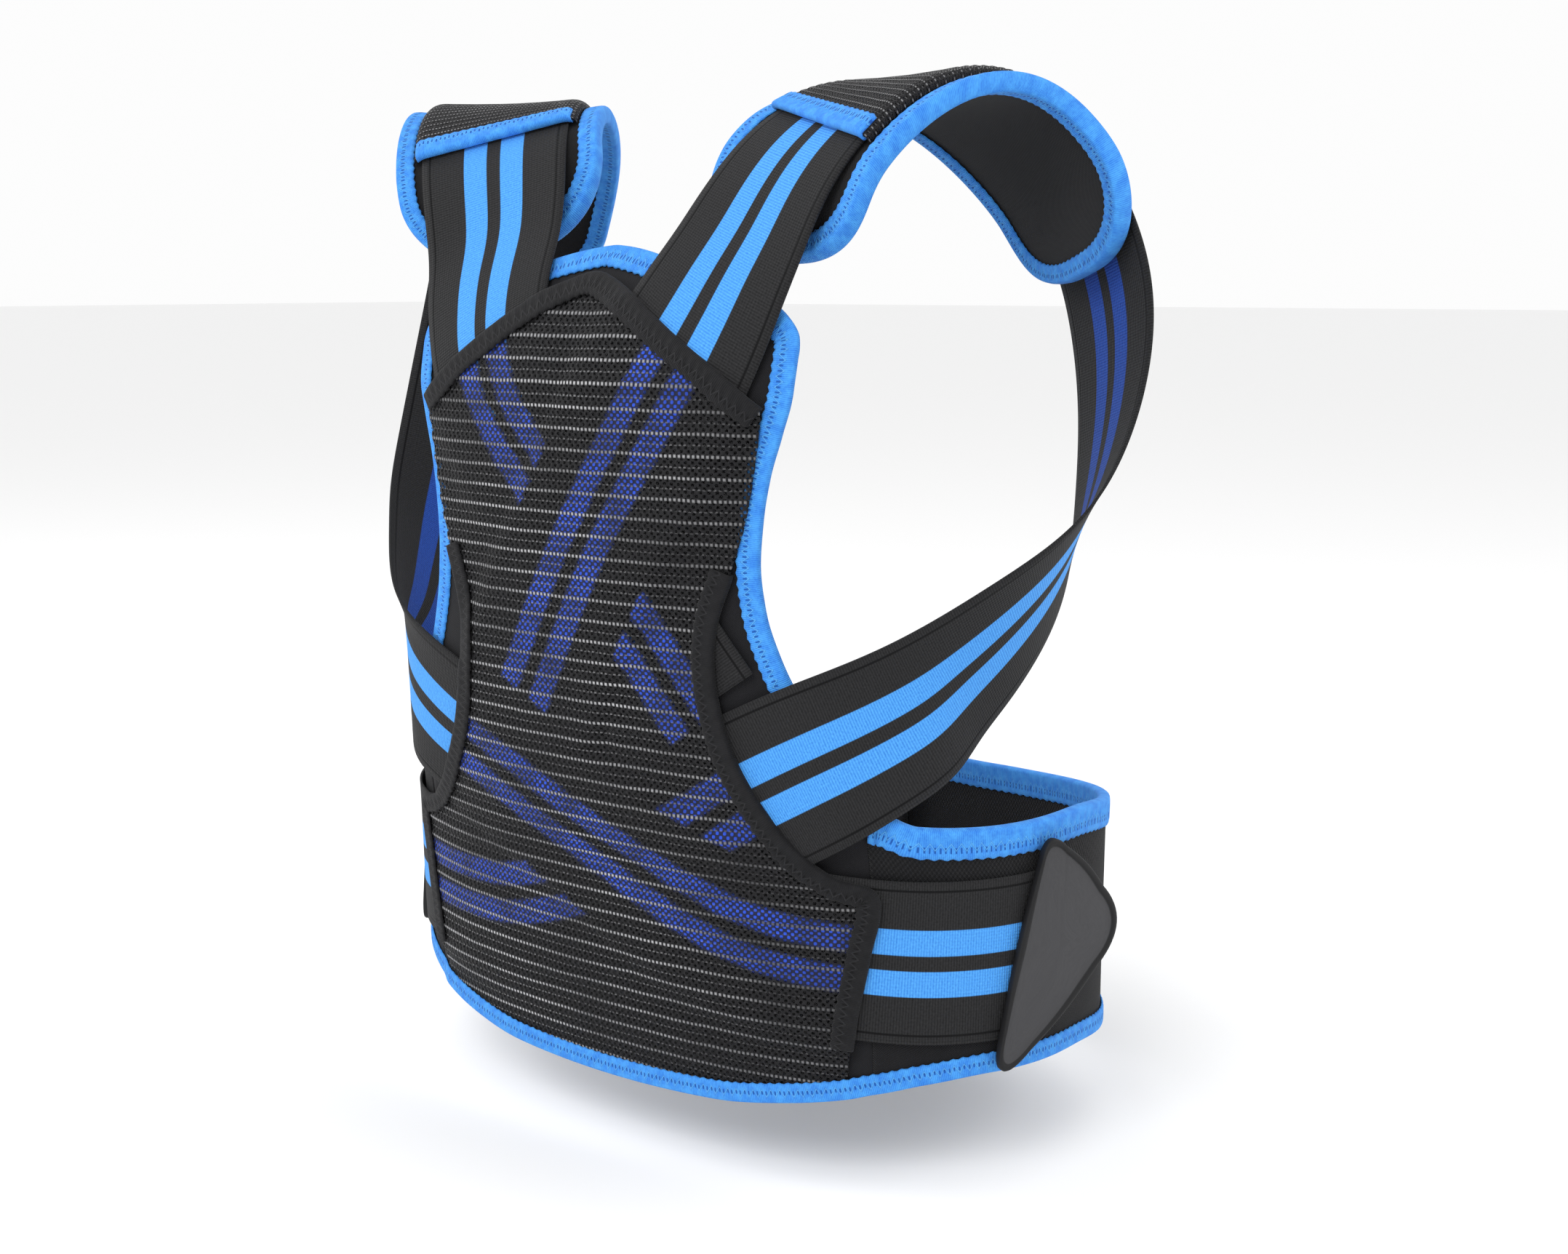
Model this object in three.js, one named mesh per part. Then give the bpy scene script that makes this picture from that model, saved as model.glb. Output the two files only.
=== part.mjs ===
// Posture corrector for an adult torso, in millimetres.
// A foam back panel with belt wings, a mesh cover, two elastic straps that cross on the back,
// run over padded shoulder pieces and under the arms, cross again and end in grip tabs at the waist.
// While it is built, +X is the wearer's right, +Y the wearer's front, +Z up, and height 0 is the
// lower edge of the back panel. The group at the end moves the origin up between the shoulder pads.
import * as THREE from 'three';

// Overall sizes
const panelHeight = 395; // lower edge of the back panel to the tip of its mesh cover
const panelHalfWidth = 145; // half the width of the panel where the belt wings start, round the body
const torsoHalfWidth = 192; // inside of the belt, centre to side
const torsoBackDepth = 134; // inside of the panel behind the torso's middle, at its deepest
const torsoFrontDepth = 121; // inside of the belt in front of the torso's middle
const torsoSquareness = 2.5; // exponent of the torso's section, 2 is an ellipse
const beltHeight = 140; // highest point of the belt's upper edge
const loopReach = 200; // length that the arm loop's places are shares of
const lapLength = 25; // how far each belt wing passes the front centre

// Cloth thicknesses and widths
const foamThickness = 3;
const meshThickness = 1.5;
const elasticThickness = 1.2;
const elasticWidth = 79;
const padThickness = 6;
const padWidth = 107;
const bindingThickness = 1;
const bindingWidth = 9;
const beltTapeWidth = 13; // tape along the top of the belt
const clearance = 0.3; // between two pieces that meet edge to edge
const webGap = 0.5; // between the fold of a tape and the edge of the cloth in it
const tapeSlack = 0.7; // between the flat of a tape and the cloth in it
const layerGap = 0.6; // between one layer of cloth and the next
const meshLift = 9.8; // inner face of the mesh where straps run under it
const meshTapeDrop = 0.3; // how much lower the inside of a mesh tape runs
const meshSideLift = 5.1; // inner face of the mesh where its upper sides are sewn down
const meshFootLift = 3.6; // inner face of the mesh at the lower edge
const strapOverFoam = 4.2; // inner face of the strap that lies on the foam
const strapOverTape = 5.3; // inner face of a strap where it crosses a tape
const strapOverStrap = 6.2; // inner face of the strap that crosses the other one
const topTapeLift = 7; // inner face of a strap where it crosses the panel's top edge
const keepOffRange = { upper: 408, front: -60, side: 155 }; // where the arm loop comes near the panel

// Grip tab
const tabHeight = 114;
const tabReach = 80;
const tabThickness = 3;
const tabRimWidth = 3.5;
const tabRimHeight = 1;

// Colours
const black = 0x1e1e20;
const meshBlack = 0x2a2a2c;
const blue = 0x3f8fe6;
const tabGrey = 0x4a4a4d;

// Shape of the back: how deep the torso is at a height, as shares of torsoBackDepth
const backProfile = [
  { height: 0.0, depth: 0.843 },
  { height: 0.15, depth: 0.866 },
  { height: 0.29, depth: 0.881 },
  { height: 0.38, depth: 0.933 },
  { height: 0.51, depth: 0.978 },
  { height: 0.68, depth: 1.0 },
  { height: 0.85, depth: 1.0 },
  { height: 0.9, depth: 0.975 },
  { height: 0.945, depth: 0.925 },
  { height: 1.0, depth: 0.805 },
  { height: 1.03, depth: 0.735 },
];

// Half width of the foam panel at a height, as shares of panelHalfWidth and panelHeight
const panelOutline = [
  { height: 0.0, half: 0.976 },
  { height: 0.36, half: 0.976 },
  { height: 0.405, half: 0.924 },
  { height: 0.443, half: 0.862 },
  { height: 0.48, half: 0.8 },
  { height: 0.53, half: 0.73 },
  { height: 0.582, half: 0.683 },
  { height: 0.633, half: 0.667 },
  { height: 0.684, half: 0.677 },
  { height: 0.734, half: 0.7 },
  { height: 0.785, half: 0.738 },
  { height: 0.835, half: 0.769 },
  { height: 0.88, half: 0.772 },
  { height: 0.9, half: 0.75 },
  { height: 0.907, half: 0.7 },
];
const panelTopArch = 0.113; // how far the top edge rises from its corners to its middle
const panelTapeStart = 0.42; // share of the panel's height where the tape on its side starts

// Half width of the mesh cover at a height
const meshOutline = [
  { height: 0.0, half: 0.89 },
  { height: 0.035, half: 0.898 },
  { height: 0.07, half: 0.91 },
  { height: 0.13, half: 0.93 },
  { height: 0.21, half: 0.965 },
  { height: 0.29, half: 0.99 },
  { height: 0.308, half: 0.87 },
  { height: 0.34, half: 0.76 },
  { height: 0.385, half: 0.665 },
  { height: 0.44, half: 0.585 },
  { height: 0.495, half: 0.542 },
  { height: 0.55, half: 0.523 },
  { height: 0.605, half: 0.54 },
  { height: 0.66, half: 0.59 },
  { height: 0.72, half: 0.64 },
  { height: 0.78, half: 0.67 },
  { height: 0.845, half: 0.69 },
  { height: 0.869, half: 0.592 },
  { height: 0.893, half: 0.495 },
  { height: 0.914, half: 0.397 },
  { height: 0.935, half: 0.3 },
  { height: 0.965, half: 0.145 },
  { height: 0.978, half: 0.06 },
  { height: 0.982, half: 0.02 },
];
const meshSideTapeEnds = { lower: 0.07, upper: 0.66 };

// Edges of the belt, heights as shares of beltHeight at shares of the way round to the front
const beltEdges = [
  { way: 0.0, lower: 0.0, upper: 1.1 },
  { way: 0.12, lower: 0.014, upper: 1.1 },
  { way: 0.2, lower: 0.055, upper: 1.1 },
  { way: 0.285, lower: 0.12, upper: 1.08 },
  { way: 0.32, lower: 0.15, upper: 1.03 },
  { way: 0.38, lower: 0.175, upper: 1.015 },
  { way: 0.5, lower: 0.155, upper: 1.0 },
  { way: 0.6, lower: 0.105, upper: 0.95 },
  { way: 0.8, lower: 0.06, upper: 0.87 },
  { way: 1.0, lower: 0.045, upper: 0.84 },
];

// Arm loop of the elastic: centre of the strap and the direction across it towards the arm.
// Places are shares of loopReach, measured right, forward and up from the lower middle of the torso.
const armLoop = [
  { right: 0.36, front: -0.527, up: 2.01, across: [0.93, -0.21, -0.3] },
  { right: 0.42, front: -0.49, up: 2.175, across: [0.92, -0.31, -0.24] },
  { right: 0.48, front: -0.42, up: 2.285, across: [0.91, -0.36, -0.2] },
  { right: 0.565, front: -0.305, up: 2.375, across: [0.93, -0.36, -0.05] },
  { right: 0.645, front: -0.16, up: 2.405, across: [0.92, -0.37, 0.03] },
  { right: 0.725, front: -0.025, up: 2.345, across: [0.88, -0.46, 0.09] },
  { right: 0.8, front: 0.035, up: 2.26, across: [0.86, -0.5, 0.15] },
  { right: 0.87, front: 0.075, up: 2.17, across: [0.82, -0.55, 0.2] },
  { right: 0.92, front: 0.09, up: 2.07, across: [0.82, -0.56, 0.1] },
  { right: 0.975, front: 0.1, up: 1.92, across: [0.84, -0.55, 0] },
  { right: 1.01, front: 0.045, up: 1.635, across: [0.71, -0.71, 0.06] },
  { right: 0.995, front: -0.04, up: 1.415, across: [0.57, -0.77, 0.29] },
  { right: 0.995, front: -0.085, up: 1.325, across: [0.36, -0.9, 0.24] },
  { right: 0.97, front: -0.15, up: 1.25, across: [0.28, -0.82, 0.5] },
  { right: 0.925, front: -0.2, up: 1.195, across: [0.18, -0.78, 0.6] },
  { right: 0.86, front: -0.325, up: 1.08, across: [0.12, -0.54, 0.83] },
  { right: 0.79, front: -0.425, up: 1.0, across: [-0.05, -0.53, 0.85] },
  { right: 0.73, front: -0.48, up: 0.955, across: [-0.04, -0.48, 0.87] },
  { right: 0.655, front: -0.56, up: 0.91, across: [-0.1, -0.3, 0.9] },
];

// Stretches of the elastic that lie on the back: shares of panelHalfWidth and panelHeight,
// towards the strap's own arm, with the lift of its inner face off the torso
const upperRoutes = {
  right: [
    { out: -0.207, height: 0.504, lift: strapOverStrap },
    { out: 0.055, height: 0.684, lift: strapOverStrap },
    { out: 0.28, height: 0.82, lift: 6.0 },
    { out: 0.35, height: 0.865, lift: 5.0 },
    { out: 0.43, height: 0.915, lift: strapOverFoam },
  ],
  left: [
    { out: -0.435, height: 0.491, lift: strapOverFoam },
    { out: -0.055, height: 0.684, lift: strapOverFoam },
    { out: 0.28, height: 0.82, lift: strapOverFoam },
    { out: 0.43, height: 0.915, lift: strapOverFoam },
  ],
};
const lowerRoutes = {
  right: [
    { out: 0.8, height: 0.435, lift: strapOverTape },
    { out: 0.675, height: 0.413, lift: strapOverFoam },
    { out: 0.4, height: 0.35, lift: strapOverFoam },
    { out: 0.0, height: 0.265, lift: strapOverFoam },
    { out: -0.4, height: 0.212, lift: strapOverFoam },
    { out: -0.75, height: 0.2, lift: strapOverFoam },
    { out: -1.1, height: 0.2, lift: 4.5 },
  ],
  left: [
    { out: 0.8, height: 0.435, lift: strapOverTape },
    { out: 0.675, height: 0.42, lift: strapOverTape },
    { out: 0.4, height: 0.385, lift: 6.0 },
    { out: 0.0, height: 0.315, lift: strapOverStrap },
    { out: -0.4, height: 0.25, lift: strapOverStrap },
    { out: -0.62, height: 0.225, lift: 6.1 },
    { out: -0.8, height: 0.215, lift: 5.7 },
    { out: -1.1, height: 0.205, lift: 4.5 },
  ],
};
const strapEndWay = 0.44; // where the elastic ends, as a share of the way round to the front

// Shoulder pads and sleeves
const padGap = 1.5; // between the pad's outer face and the strap
const padEndLength = 42; // length of the rounded stretch at each end
const padRearDroop = 8; // how far the rear end hangs off the strap
const padRearEase = 60;
const padFrontDroop = 3;
const padFrontEase = 50;
const padSpan = { start: 0.1, end: 8.7 }; // rows of the arm loop table that the pad reaches between
const sleeveStart = 62; // from the pad's rear end to the sleeve
const sleeveEnd = 37; // from the sleeve to the pad's front end
const sleeveRoom = 1.2; // between the strap and the tape inside the sleeve

// Grip tab: corners of its triangle, shares of its reach and height from its seat on the belt
const tabWay = 0.403; // share of the way round to the front
const tabSeatHeight = 80;
const tabCorners = [
  { forward: 0.2, up: 0.535, radius: 9 },
  { forward: -0.2, up: -0.575, radius: 10 },
  { forward: 0.9, up: 0.05, radius: 26 },
];
const tabCornerSteps = 5;
const tabBend = 900; // radius it is bent to

// Lengths of single flat faces along straps and round the belt
const strapStep = 19;
const wingColumns = 20;
const panelColumns = 14;
const meshColumns = 14;

// The shoulders that carry the pads: the origin of the finished part, in the frame it is built in
const shoulders = { front: -32, up: 474 };
const sides = { right: 1, left: -1 };

// Reads a smooth value from a table: monotone cubic through its rows
function readTable(rows, key, column) {
  const at = rows.map((row) => row[key]);
  const values = rows.map((row) => row[column]);
  const slopes = at.map((_, index) => {
    if (index === 0 || index === at.length - 1) return 0;
    const before = (values[index] - values[index - 1]) / (at[index] - at[index - 1]);
    const after = (values[index + 1] - values[index]) / (at[index + 1] - at[index]);
    return before * after <= 0 ? 0 : (2 * before * after) / (before + after);
  });
  return (place) => {
    const limited = Math.min(Math.max(place, at[0]), at[at.length - 1]);
    let index = 0;
    while (index < at.length - 2 && limited > at[index + 1]) index += 1;
    const span = at[index + 1] - at[index];
    const share = (limited - at[index]) / span;
    const square = share * share;
    const cube = square * share;
    return (
      values[index] * (2 * cube - 3 * square + 1) +
      slopes[index] * span * (cube - 2 * square + share) +
      values[index + 1] * (3 * square - 2 * cube) +
      slopes[index + 1] * span * (cube - square)
    );
  };
}

function smoothStep(value, from, to) {
  const share = Math.min(Math.max((value - from) / (to - from), 0), 1);
  return share * share * (3 - 2 * share);
}

// Torso section: how far round the waist a point is, its place sideways and its share of the depth
const sectionSteps = 720;
const sectionTable = [];
for (let step = 0; step <= sectionSteps; step += 1) {
  const turn = (Math.PI * step) / sectionSteps;
  const power = 2 / torsoSquareness;
  const sideways = torsoHalfWidth * Math.sin(turn) ** power;
  const depth = Math.sign(Math.cos(turn)) * Math.abs(Math.cos(turn)) ** power;
  const waistDepth = depth > 0 ? 0.88 * torsoBackDepth : torsoFrontDepth;
  const last = sectionTable[sectionTable.length - 1];
  const length = last ? Math.hypot(sideways - last.sideways, depth * waistDepth - last.y) : 0;
  sectionTable.push({ sideways, depth, y: depth * waistDepth, way: (last ? last.way : 0) + length });
}
const wayToFront = sectionTable[sectionSteps].way;

const depthAt = readTable(backProfile, 'height', 'depth');

// Point of the torso at a distance round the waist from the back centre, at a height
function torsoSkin(way, height) {
  const beyond = Math.abs(way) > wayToFront;
  const distance = beyond ? 2 * wayToFront - Math.abs(way) : Math.abs(way);
  let low = 0;
  let high = sectionSteps;
  while (high - low > 1) {
    const middle = Math.floor((low + high) / 2);
    if (sectionTable[middle].way > distance) high = middle;
    else low = middle;
  }
  const span = sectionTable[high].way - sectionTable[low].way;
  const share = (distance - sectionTable[low].way) / span;
  const sideways = THREE.MathUtils.lerp(sectionTable[low].sideways, sectionTable[high].sideways, share);
  const depth = THREE.MathUtils.lerp(sectionTable[low].depth, sectionTable[high].depth, share);
  const back = depthAt(height / panelHeight) * torsoBackDepth;
  const side = Math.sign(way || 1) * (beyond ? -1 : 1);
  return new THREE.Vector3(side * sideways, -depth * (depth > 0 ? back : torsoFrontDepth), height);
}

// The same point lifted off the torso
function torsoPoint(way, height, lift) {
  const step = 1;
  const round = torsoSkin(way + step, height).sub(torsoSkin(way - step, height));
  const upward = torsoSkin(way, height + step).sub(torsoSkin(way, height - step));
  const normal = round.cross(upward).normalize();
  return torsoSkin(way, height).addScaledVector(normal, lift);
}

// Builds one closed body from rows of points on its inner and outer face
function closedSheet(inner, outer) {
  const rows = inner.length;
  const columns = inner[0].length;
  const positions = [];
  for (const face of [inner, outer]) {
    for (const row of face) for (const point of row) positions.push(point.x, point.y, point.z);
  }
  const id = (face, row, column) => face * rows * columns + row * columns + column;
  const index = [];
  const quad = (a, b, c, d) => index.push(a, b, c, a, c, d);
  for (let row = 0; row < rows - 1; row += 1) {
    for (let column = 0; column < columns - 1; column += 1) {
      quad(id(1, row, column), id(1, row, column + 1), id(1, row + 1, column + 1), id(1, row + 1, column));
      quad(id(0, row, column), id(0, row + 1, column), id(0, row + 1, column + 1), id(0, row, column + 1));
    }
    quad(id(0, row, 0), id(1, row, 0), id(1, row + 1, 0), id(0, row + 1, 0));
    const last = columns - 1;
    quad(id(1, row, last), id(0, row, last), id(0, row + 1, last), id(1, row + 1, last));
  }
  for (let column = 0; column < columns - 1; column += 1) {
    quad(id(0, 0, column), id(0, 0, column + 1), id(1, 0, column + 1), id(1, 0, column));
    const last = rows - 1;
    quad(id(1, last, column), id(1, last, column + 1), id(0, last, column + 1), id(0, last, column));
  }
  return outward(positions, index);
}

// Builds one closed body from equal rings of points; flat ends are cut into the given quads
function sweptBody(rings, endQuads, closed) {
  const size = rings[0].length;
  const positions = rings.flat().flatMap((point) => [point.x, point.y, point.z]);
  const index = [];
  const quad = (a, b, c, d) => index.push(a, b, c, a, c, d);
  const spans = closed ? rings.length : rings.length - 1;
  for (let ring = 0; ring < spans; ring += 1) {
    const next = (ring + 1) % rings.length;
    for (let corner = 0; corner < size; corner += 1) {
      const other = (corner + 1) % size;
      quad(ring * size + corner, ring * size + other, next * size + other, next * size + corner);
    }
  }
  if (!closed) {
    const end = (rings.length - 1) * size;
    for (const [a, b, c, d] of endQuads) {
      quad(a, d, c, b);
      quad(end + a, end + b, end + c, end + d);
    }
  }
  return outward(positions, index);
}

// Builds one closed body from rings of points round two end points
function fannedBody(rings, firstPoint, lastPoint) {
  const size = rings[0].length;
  const positions = [...rings.flat(), firstPoint, lastPoint].flatMap((point) => [point.x, point.y, point.z]);
  const first = rings.length * size;
  const index = [];
  for (let corner = 0; corner < size; corner += 1) {
    const other = (corner + 1) % size;
    for (let ring = 0; ring < rings.length - 1; ring += 1) {
      const [low, high] = [ring * size, (ring + 1) * size];
      index.push(low + corner, low + other, high + other, low + corner, high + other, high + corner);
    }
    const end = (rings.length - 1) * size;
    index.push(first, other, corner, first + 1, end + corner, end + other);
  }
  return outward(positions, index);
}

// Makes a geometry whose faces point out
function outward(positions, index) {
  let volume = 0;
  const corners = [new THREE.Vector3(), new THREE.Vector3(), new THREE.Vector3()];
  for (let start = 0; start < index.length; start += 3) {
    corners.forEach((corner, which) => corner.fromArray(positions, 3 * index[start + which]));
    volume += corners[0].dot(corners[1].clone().cross(corners[2]));
  }
  if (volume < 0) index.reverse();
  const geometry = new THREE.BufferGeometry();
  geometry.setAttribute('position', new THREE.Float32BufferAttribute(positions, 3));
  geometry.setIndex(index);
  geometry.computeVertexNormals();
  return geometry;
}

// A tape folded over the edge of a cloth. Each station has a place function:
// place(inset, rise) is the point at a distance in from the edge, and a rise over the cloth's inner face.
const tapeEnds = [[0, 1, 6, 7], [1, 2, 5, 6], [2, 3, 4, 5]];
function foldedTape(stations, closed = false) {
  const rings = stations.map(({ place, thickness, width = bindingWidth }) => {
    const top = thickness + tapeSlack;
    const bottom = -tapeSlack;
    const wall = bindingThickness;
    return [
      place(width, top + wall),
      place(-webGap - wall, top + wall),
      place(-webGap - wall, bottom - wall),
      place(width, bottom - wall),
      place(width, bottom),
      place(-webGap, bottom),
      place(-webGap, top),
      place(width, top),
    ];
  });
  return sweptBody(rings, tapeEnds, closed);
}

// Stations of a tape along an edge on the torso map. inwardSign says on which side the cloth lies,
// liftAt gives the lift of the cloth's inner face and thicknessAt the thickness the tape holds.
function mapStations(points, inwardSign, liftAt, thicknessAt, width) {
  return points.map(([way, height], index) => {
    const before = points[Math.max(index - 1, 0)];
    const after = points[Math.min(index + 1, points.length - 1)];
    const along = new THREE.Vector2(after[0] - before[0], after[1] - before[1]).normalize();
    const inward = new THREE.Vector2(-along.y, along.x).multiplyScalar(inwardSign);
    return {
      place: (inset, rise) => {
        const cloth = Math.max(inset, 0);
        const lift = liftAt(way + inward.x * cloth, height + inward.y * cloth);
        return torsoPoint(way + inward.x * inset, height + inward.y * inset, lift + rise);
      },
      thickness: thicknessAt(way, height),
      width,
    };
  });
}

const group = new THREE.Group();
function addPiece(name, geometry, color, roughness) {
  const material = new THREE.MeshStandardMaterial({ color, roughness, metalness: 0 });
  geometry.translate(0, -shoulders.front, -shoulders.up);
  const mesh = new THREE.Mesh(geometry, material);
  mesh.name = name;
  group.add(mesh);
}

// Belt edges round the torso
const beltLower = readTable(beltEdges, 'way', 'lower');
const beltUpper = readTable(beltEdges, 'way', 'upper');
const lowerEdge = (way) => beltHeight * beltLower(Math.min(Math.abs(way) / wayToFront, 1));
const upperEdge = (way) => beltHeight * beltUpper(Math.min(Math.abs(way) / wayToFront, 1));

// Foam back panel
const panelHalf = readTable(panelOutline, 'height', 'half');
const seamWay = panelHalf(0) * panelHalfWidth;
function panelRowHeight(level, across) {
  const top = panelOutline[panelOutline.length - 1].height + panelTopArch * (1 - Math.abs(across) ** 1.3);
  return level * top * panelHeight + (1 - level) * lowerEdge(across * panelHalfWidth);
}
function panelPoint(level, across) {
  const top = panelOutline[panelOutline.length - 1].height;
  const half = panelHalf(level * top) * panelHalfWidth;
  return [across * half, panelRowHeight(level, across * panelHalf(level * top))];
}
const panelLevels = [0, 0.09, 0.18, 0.27, 0.35, 0.4, 0.45, 0.5, 0.56, 0.63, 0.7, 0.77, 0.83, 0.88, 0.93, 0.965, 0.985, 1];
const panelShares = Array.from({ length: panelColumns + 1 }, (_, column) => (2 * column) / panelColumns - 1);
function backPanel() {
  const inner = [];
  const outer = [];
  for (const level of panelLevels) {
    inner.push(panelShares.map((share) => torsoPoint(...panelPoint(level, share), 0)));
    outer.push(panelShares.map((share) => torsoPoint(...panelPoint(level, share), foamThickness)));
  }
  return closedSheet(inner, outer);
}
addPiece('back_panel', backPanel(), black, 0.9);

// Belt wings; the right one laps over the left one at the front
const lapLift = foamThickness + 2 * (bindingThickness + tapeSlack) + 2 * layerGap;
const lapEase = 60;
function wingLift(side, way) {
  const lapStart = wayToFront - lapLength - lapEase;
  return side > 0 ? lapLift * smoothStep(way, lapStart, lapStart + lapEase) : 0;
}
const wingStart = seamWay + 2 * clearance;
const wingEnd = wayToFront + lapLength;
const wingWays = Array.from({ length: wingColumns + 1 }, (_, column) => {
  return wingStart + ((wingEnd - wingStart) * column) / wingColumns;
});
function beltWing(side) {
  const shares = [0, 1 / 3, 2 / 3, 1];
  const face = (thickness) => wingWays.map((way) => shares.map((share) => {
    const height = THREE.MathUtils.lerp(lowerEdge(way), upperEdge(way), share);
    return torsoPoint(side * way, height, wingLift(side, way) + thickness);
  }));
  return closedSheet(face(0), face(foamThickness));
}

// Mesh cover over the back panel
const meshHalf = readTable(meshOutline, 'height', 'half');
function meshInnerLift(way, height) {
  const share = height / panelHeight;
  const fromBottom = smoothStep(height - lowerEdge(way), 12, 25);
  const fromSide = smoothStep(meshHalf(share) * panelHalfWidth - Math.abs(way), 2, 26);
  const sewn = smoothStep(share, 0.58, 0.7) * (1 - smoothStep(share, 0.72, 0.8)) * (1 - fromSide);
  const free = THREE.MathUtils.lerp(meshLift, meshSideLift, sewn);
  return THREE.MathUtils.lerp(meshFootLift, free, fromBottom);
}
function meshPoint({ half, height }, share) {
  const way = share * half * panelHalfWidth;
  const nearBottom = 1 - smoothStep(height, 0, 0.24);
  return [way, height * panelHeight + nearBottom * lowerEdge(way)];
}
function meshCover() {
  const shares = Array.from({ length: meshColumns + 1 }, (_, column) => (2 * column) / meshColumns - 1);
  const face = (thickness) => meshOutline.map((row) => shares.map((share) => {
    const point = meshPoint(row, share);
    return torsoPoint(...point, meshInnerLift(...point) + thickness);
  }));
  return closedSheet(face(0), face(meshThickness));
}
addPiece('mesh_cover', meshCover(), meshBlack, 0.95);

// Elastic straps
const lanes = [-1, -0.5, 0, 0.5, 1];

// Rows of points across the strap where it lies on the torso; the route is on the torso map
function surfaceRows(route, side) {
  const points = route.map(({ out, height, lift }) => {
    return new THREE.Vector3(side * out * panelHalfWidth, height * panelHeight, lift);
  });
  const curve = new THREE.CatmullRomCurve3(points, false, 'centripetal');
  const count = Math.round(curve.getLength() / strapStep);
  return Array.from({ length: count + 1 }, (_, index) => {
    const place = curve.getPointAt(index / count);
    const along = curve.getTangentAt(index / count);
    const across = new THREE.Vector2(along.y, -along.x).normalize().multiplyScalar(side * elasticWidth * 0.5);
    return lanes.map((lane) => torsoPoint(place.x + lane * across.x, place.y + lane * across.y, place.z));
  });
}

// Rows of points across the strap where it hangs free round the arm
function loopRows(side) {
  const points = armLoop.map(({ right, front, up }) => {
    return new THREE.Vector3(side * right, front, up).multiplyScalar(loopReach);
  });
  return points.map((point, index) => {
    const before = points[Math.max(index - 1, 0)];
    const after = points[Math.min(index + 1, points.length - 1)];
    const along = after.clone().sub(before).normalize();
    const [x, y, z] = armLoop[index].across;
    const across = new THREE.Vector3(side * x, y, z);
    across.addScaledVector(along, -across.dot(along)).normalize();
    return lanes.map((lane) => point.clone().addScaledVector(across, lane * elasticWidth * 0.5));
  });
}

// Lifts a point of the free loop clear of the tapes on the panel's edge where it comes near them
function keepOff(point) {
  const high = point.z > keepOffRange.upper;
  if (high || point.y > keepOffRange.front || Math.abs(point.x) > keepOffRange.side) return point;
  const depth = depthAt(point.z / panelHeight) * torsoBackDepth;
  const power = torsoSquareness;
  const reach = (Math.abs(point.x) / torsoHalfWidth) ** power + (Math.abs(point.y) / depth) ** power;
  const slope = new THREE.Vector3(
    (Math.sign(point.x) * (Math.abs(point.x) / torsoHalfWidth) ** (power - 1)) / torsoHalfWidth,
    -((Math.abs(point.y) / depth) ** (power - 1)) / depth,
    0,
  ).multiplyScalar(reach ** (1 / power - 1));
  const lift = (reach ** (1 / power) - 1) / slope.length();
  const across = Math.abs(point.x);
  const fromPanelSide = panelHalf(point.z / panelHeight) * panelHalfWidth - across;
  const tapeFoot = panelTapeStart * panelHeight;
  const onPanelTape = smoothStep(point.z, tapeFoot - 14, tapeFoot - 4) * (1 - smoothStep(fromPanelSide, 12, 24));
  const onSide = Math.max(smoothStep(across, 0.92 * seamWay, 0.97 * seamWay), onPanelTape);
  const onTop = smoothStep(point.z - panelRowHeight(1, across / panelHalfWidth), -26, -12);
  const needed = Math.max(
    THREE.MathUtils.lerp(strapOverFoam, strapOverTape + clearance, onSide),
    THREE.MathUtils.lerp(strapOverFoam, topTapeLift, onTop),
  );
  const missing = needed - lift;
  return missing > 0 ? point.clone().addScaledVector(slope.normalize(), missing) : point;
}

// Joins the rows of the free loop to the rows on the back by one smooth curve for each lane
function smoothRows(rows, step) {
  const curves = lanes.map((_, lane) => {
    return new THREE.CatmullRomCurve3(rows.map((row) => row[lane]), false, 'centripetal');
  });
  const result = [];
  for (let span = 0; span < rows.length - 1; span += 1) {
    const middle = (lanes.length - 1) / 2;
    const count = Math.max(1, Math.round(rows[span][middle].distanceTo(rows[span + 1][middle]) / step));
    for (let part = 0; part < count; part += 1) {
      const share = (span + part / count) / (rows.length - 1);
      result.push(curves.map((curve) => curve.getPoint(share)));
    }
  }
  result.push(rows[rows.length - 1].map((point) => point.clone()));
  return result;
}

// The free loop is drawn through the last rows on the back, so that it leaves the back smoothly
const strapRows = {};
for (const [name, side] of Object.entries(sides)) {
  const upper = surfaceRows(upperRoutes[name], side);
  const end = { out: -(strapEndWay * wayToFront) / panelHalfWidth, height: 0.2, lift: strapOverFoam };
  const lower = surfaceRows([...lowerRoutes[name], end], side);
  const drawn = smoothRows([...upper.slice(-2), ...loopRows(side), ...lower.slice(0, 2)], strapStep);
  const free = drawn.map((row) => row.map(keepOff));
  strapRows[name] = [...upper.slice(0, -2), ...free, ...lower.slice(2)];
}

// Direction out of the strap's outer face at each point of its rows
function rowNormals(rows, side) {
  return rows.map((row, index) => {
    const before = rows[Math.max(index - 1, 0)];
    const after = rows[Math.min(index + 1, rows.length - 1)];
    return row.map((point, lane) => {
      const along = after[lane].clone().sub(before[lane]);
      const across = row[Math.min(lane + 1, row.length - 1)].clone().sub(row[Math.max(lane - 1, 0)]);
      return across.cross(along).normalize().multiplyScalar(side);
    });
  });
}

function elasticStrap(name, side) {
  const rows = strapRows[name];
  const normals = rowNormals(rows, side);
  const outer = rows.map((row, index) => {
    return row.map((point, lane) => point.clone().addScaledVector(normals[index][lane], elasticThickness));
  });
  return closedSheet(rows, outer);
}

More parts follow.
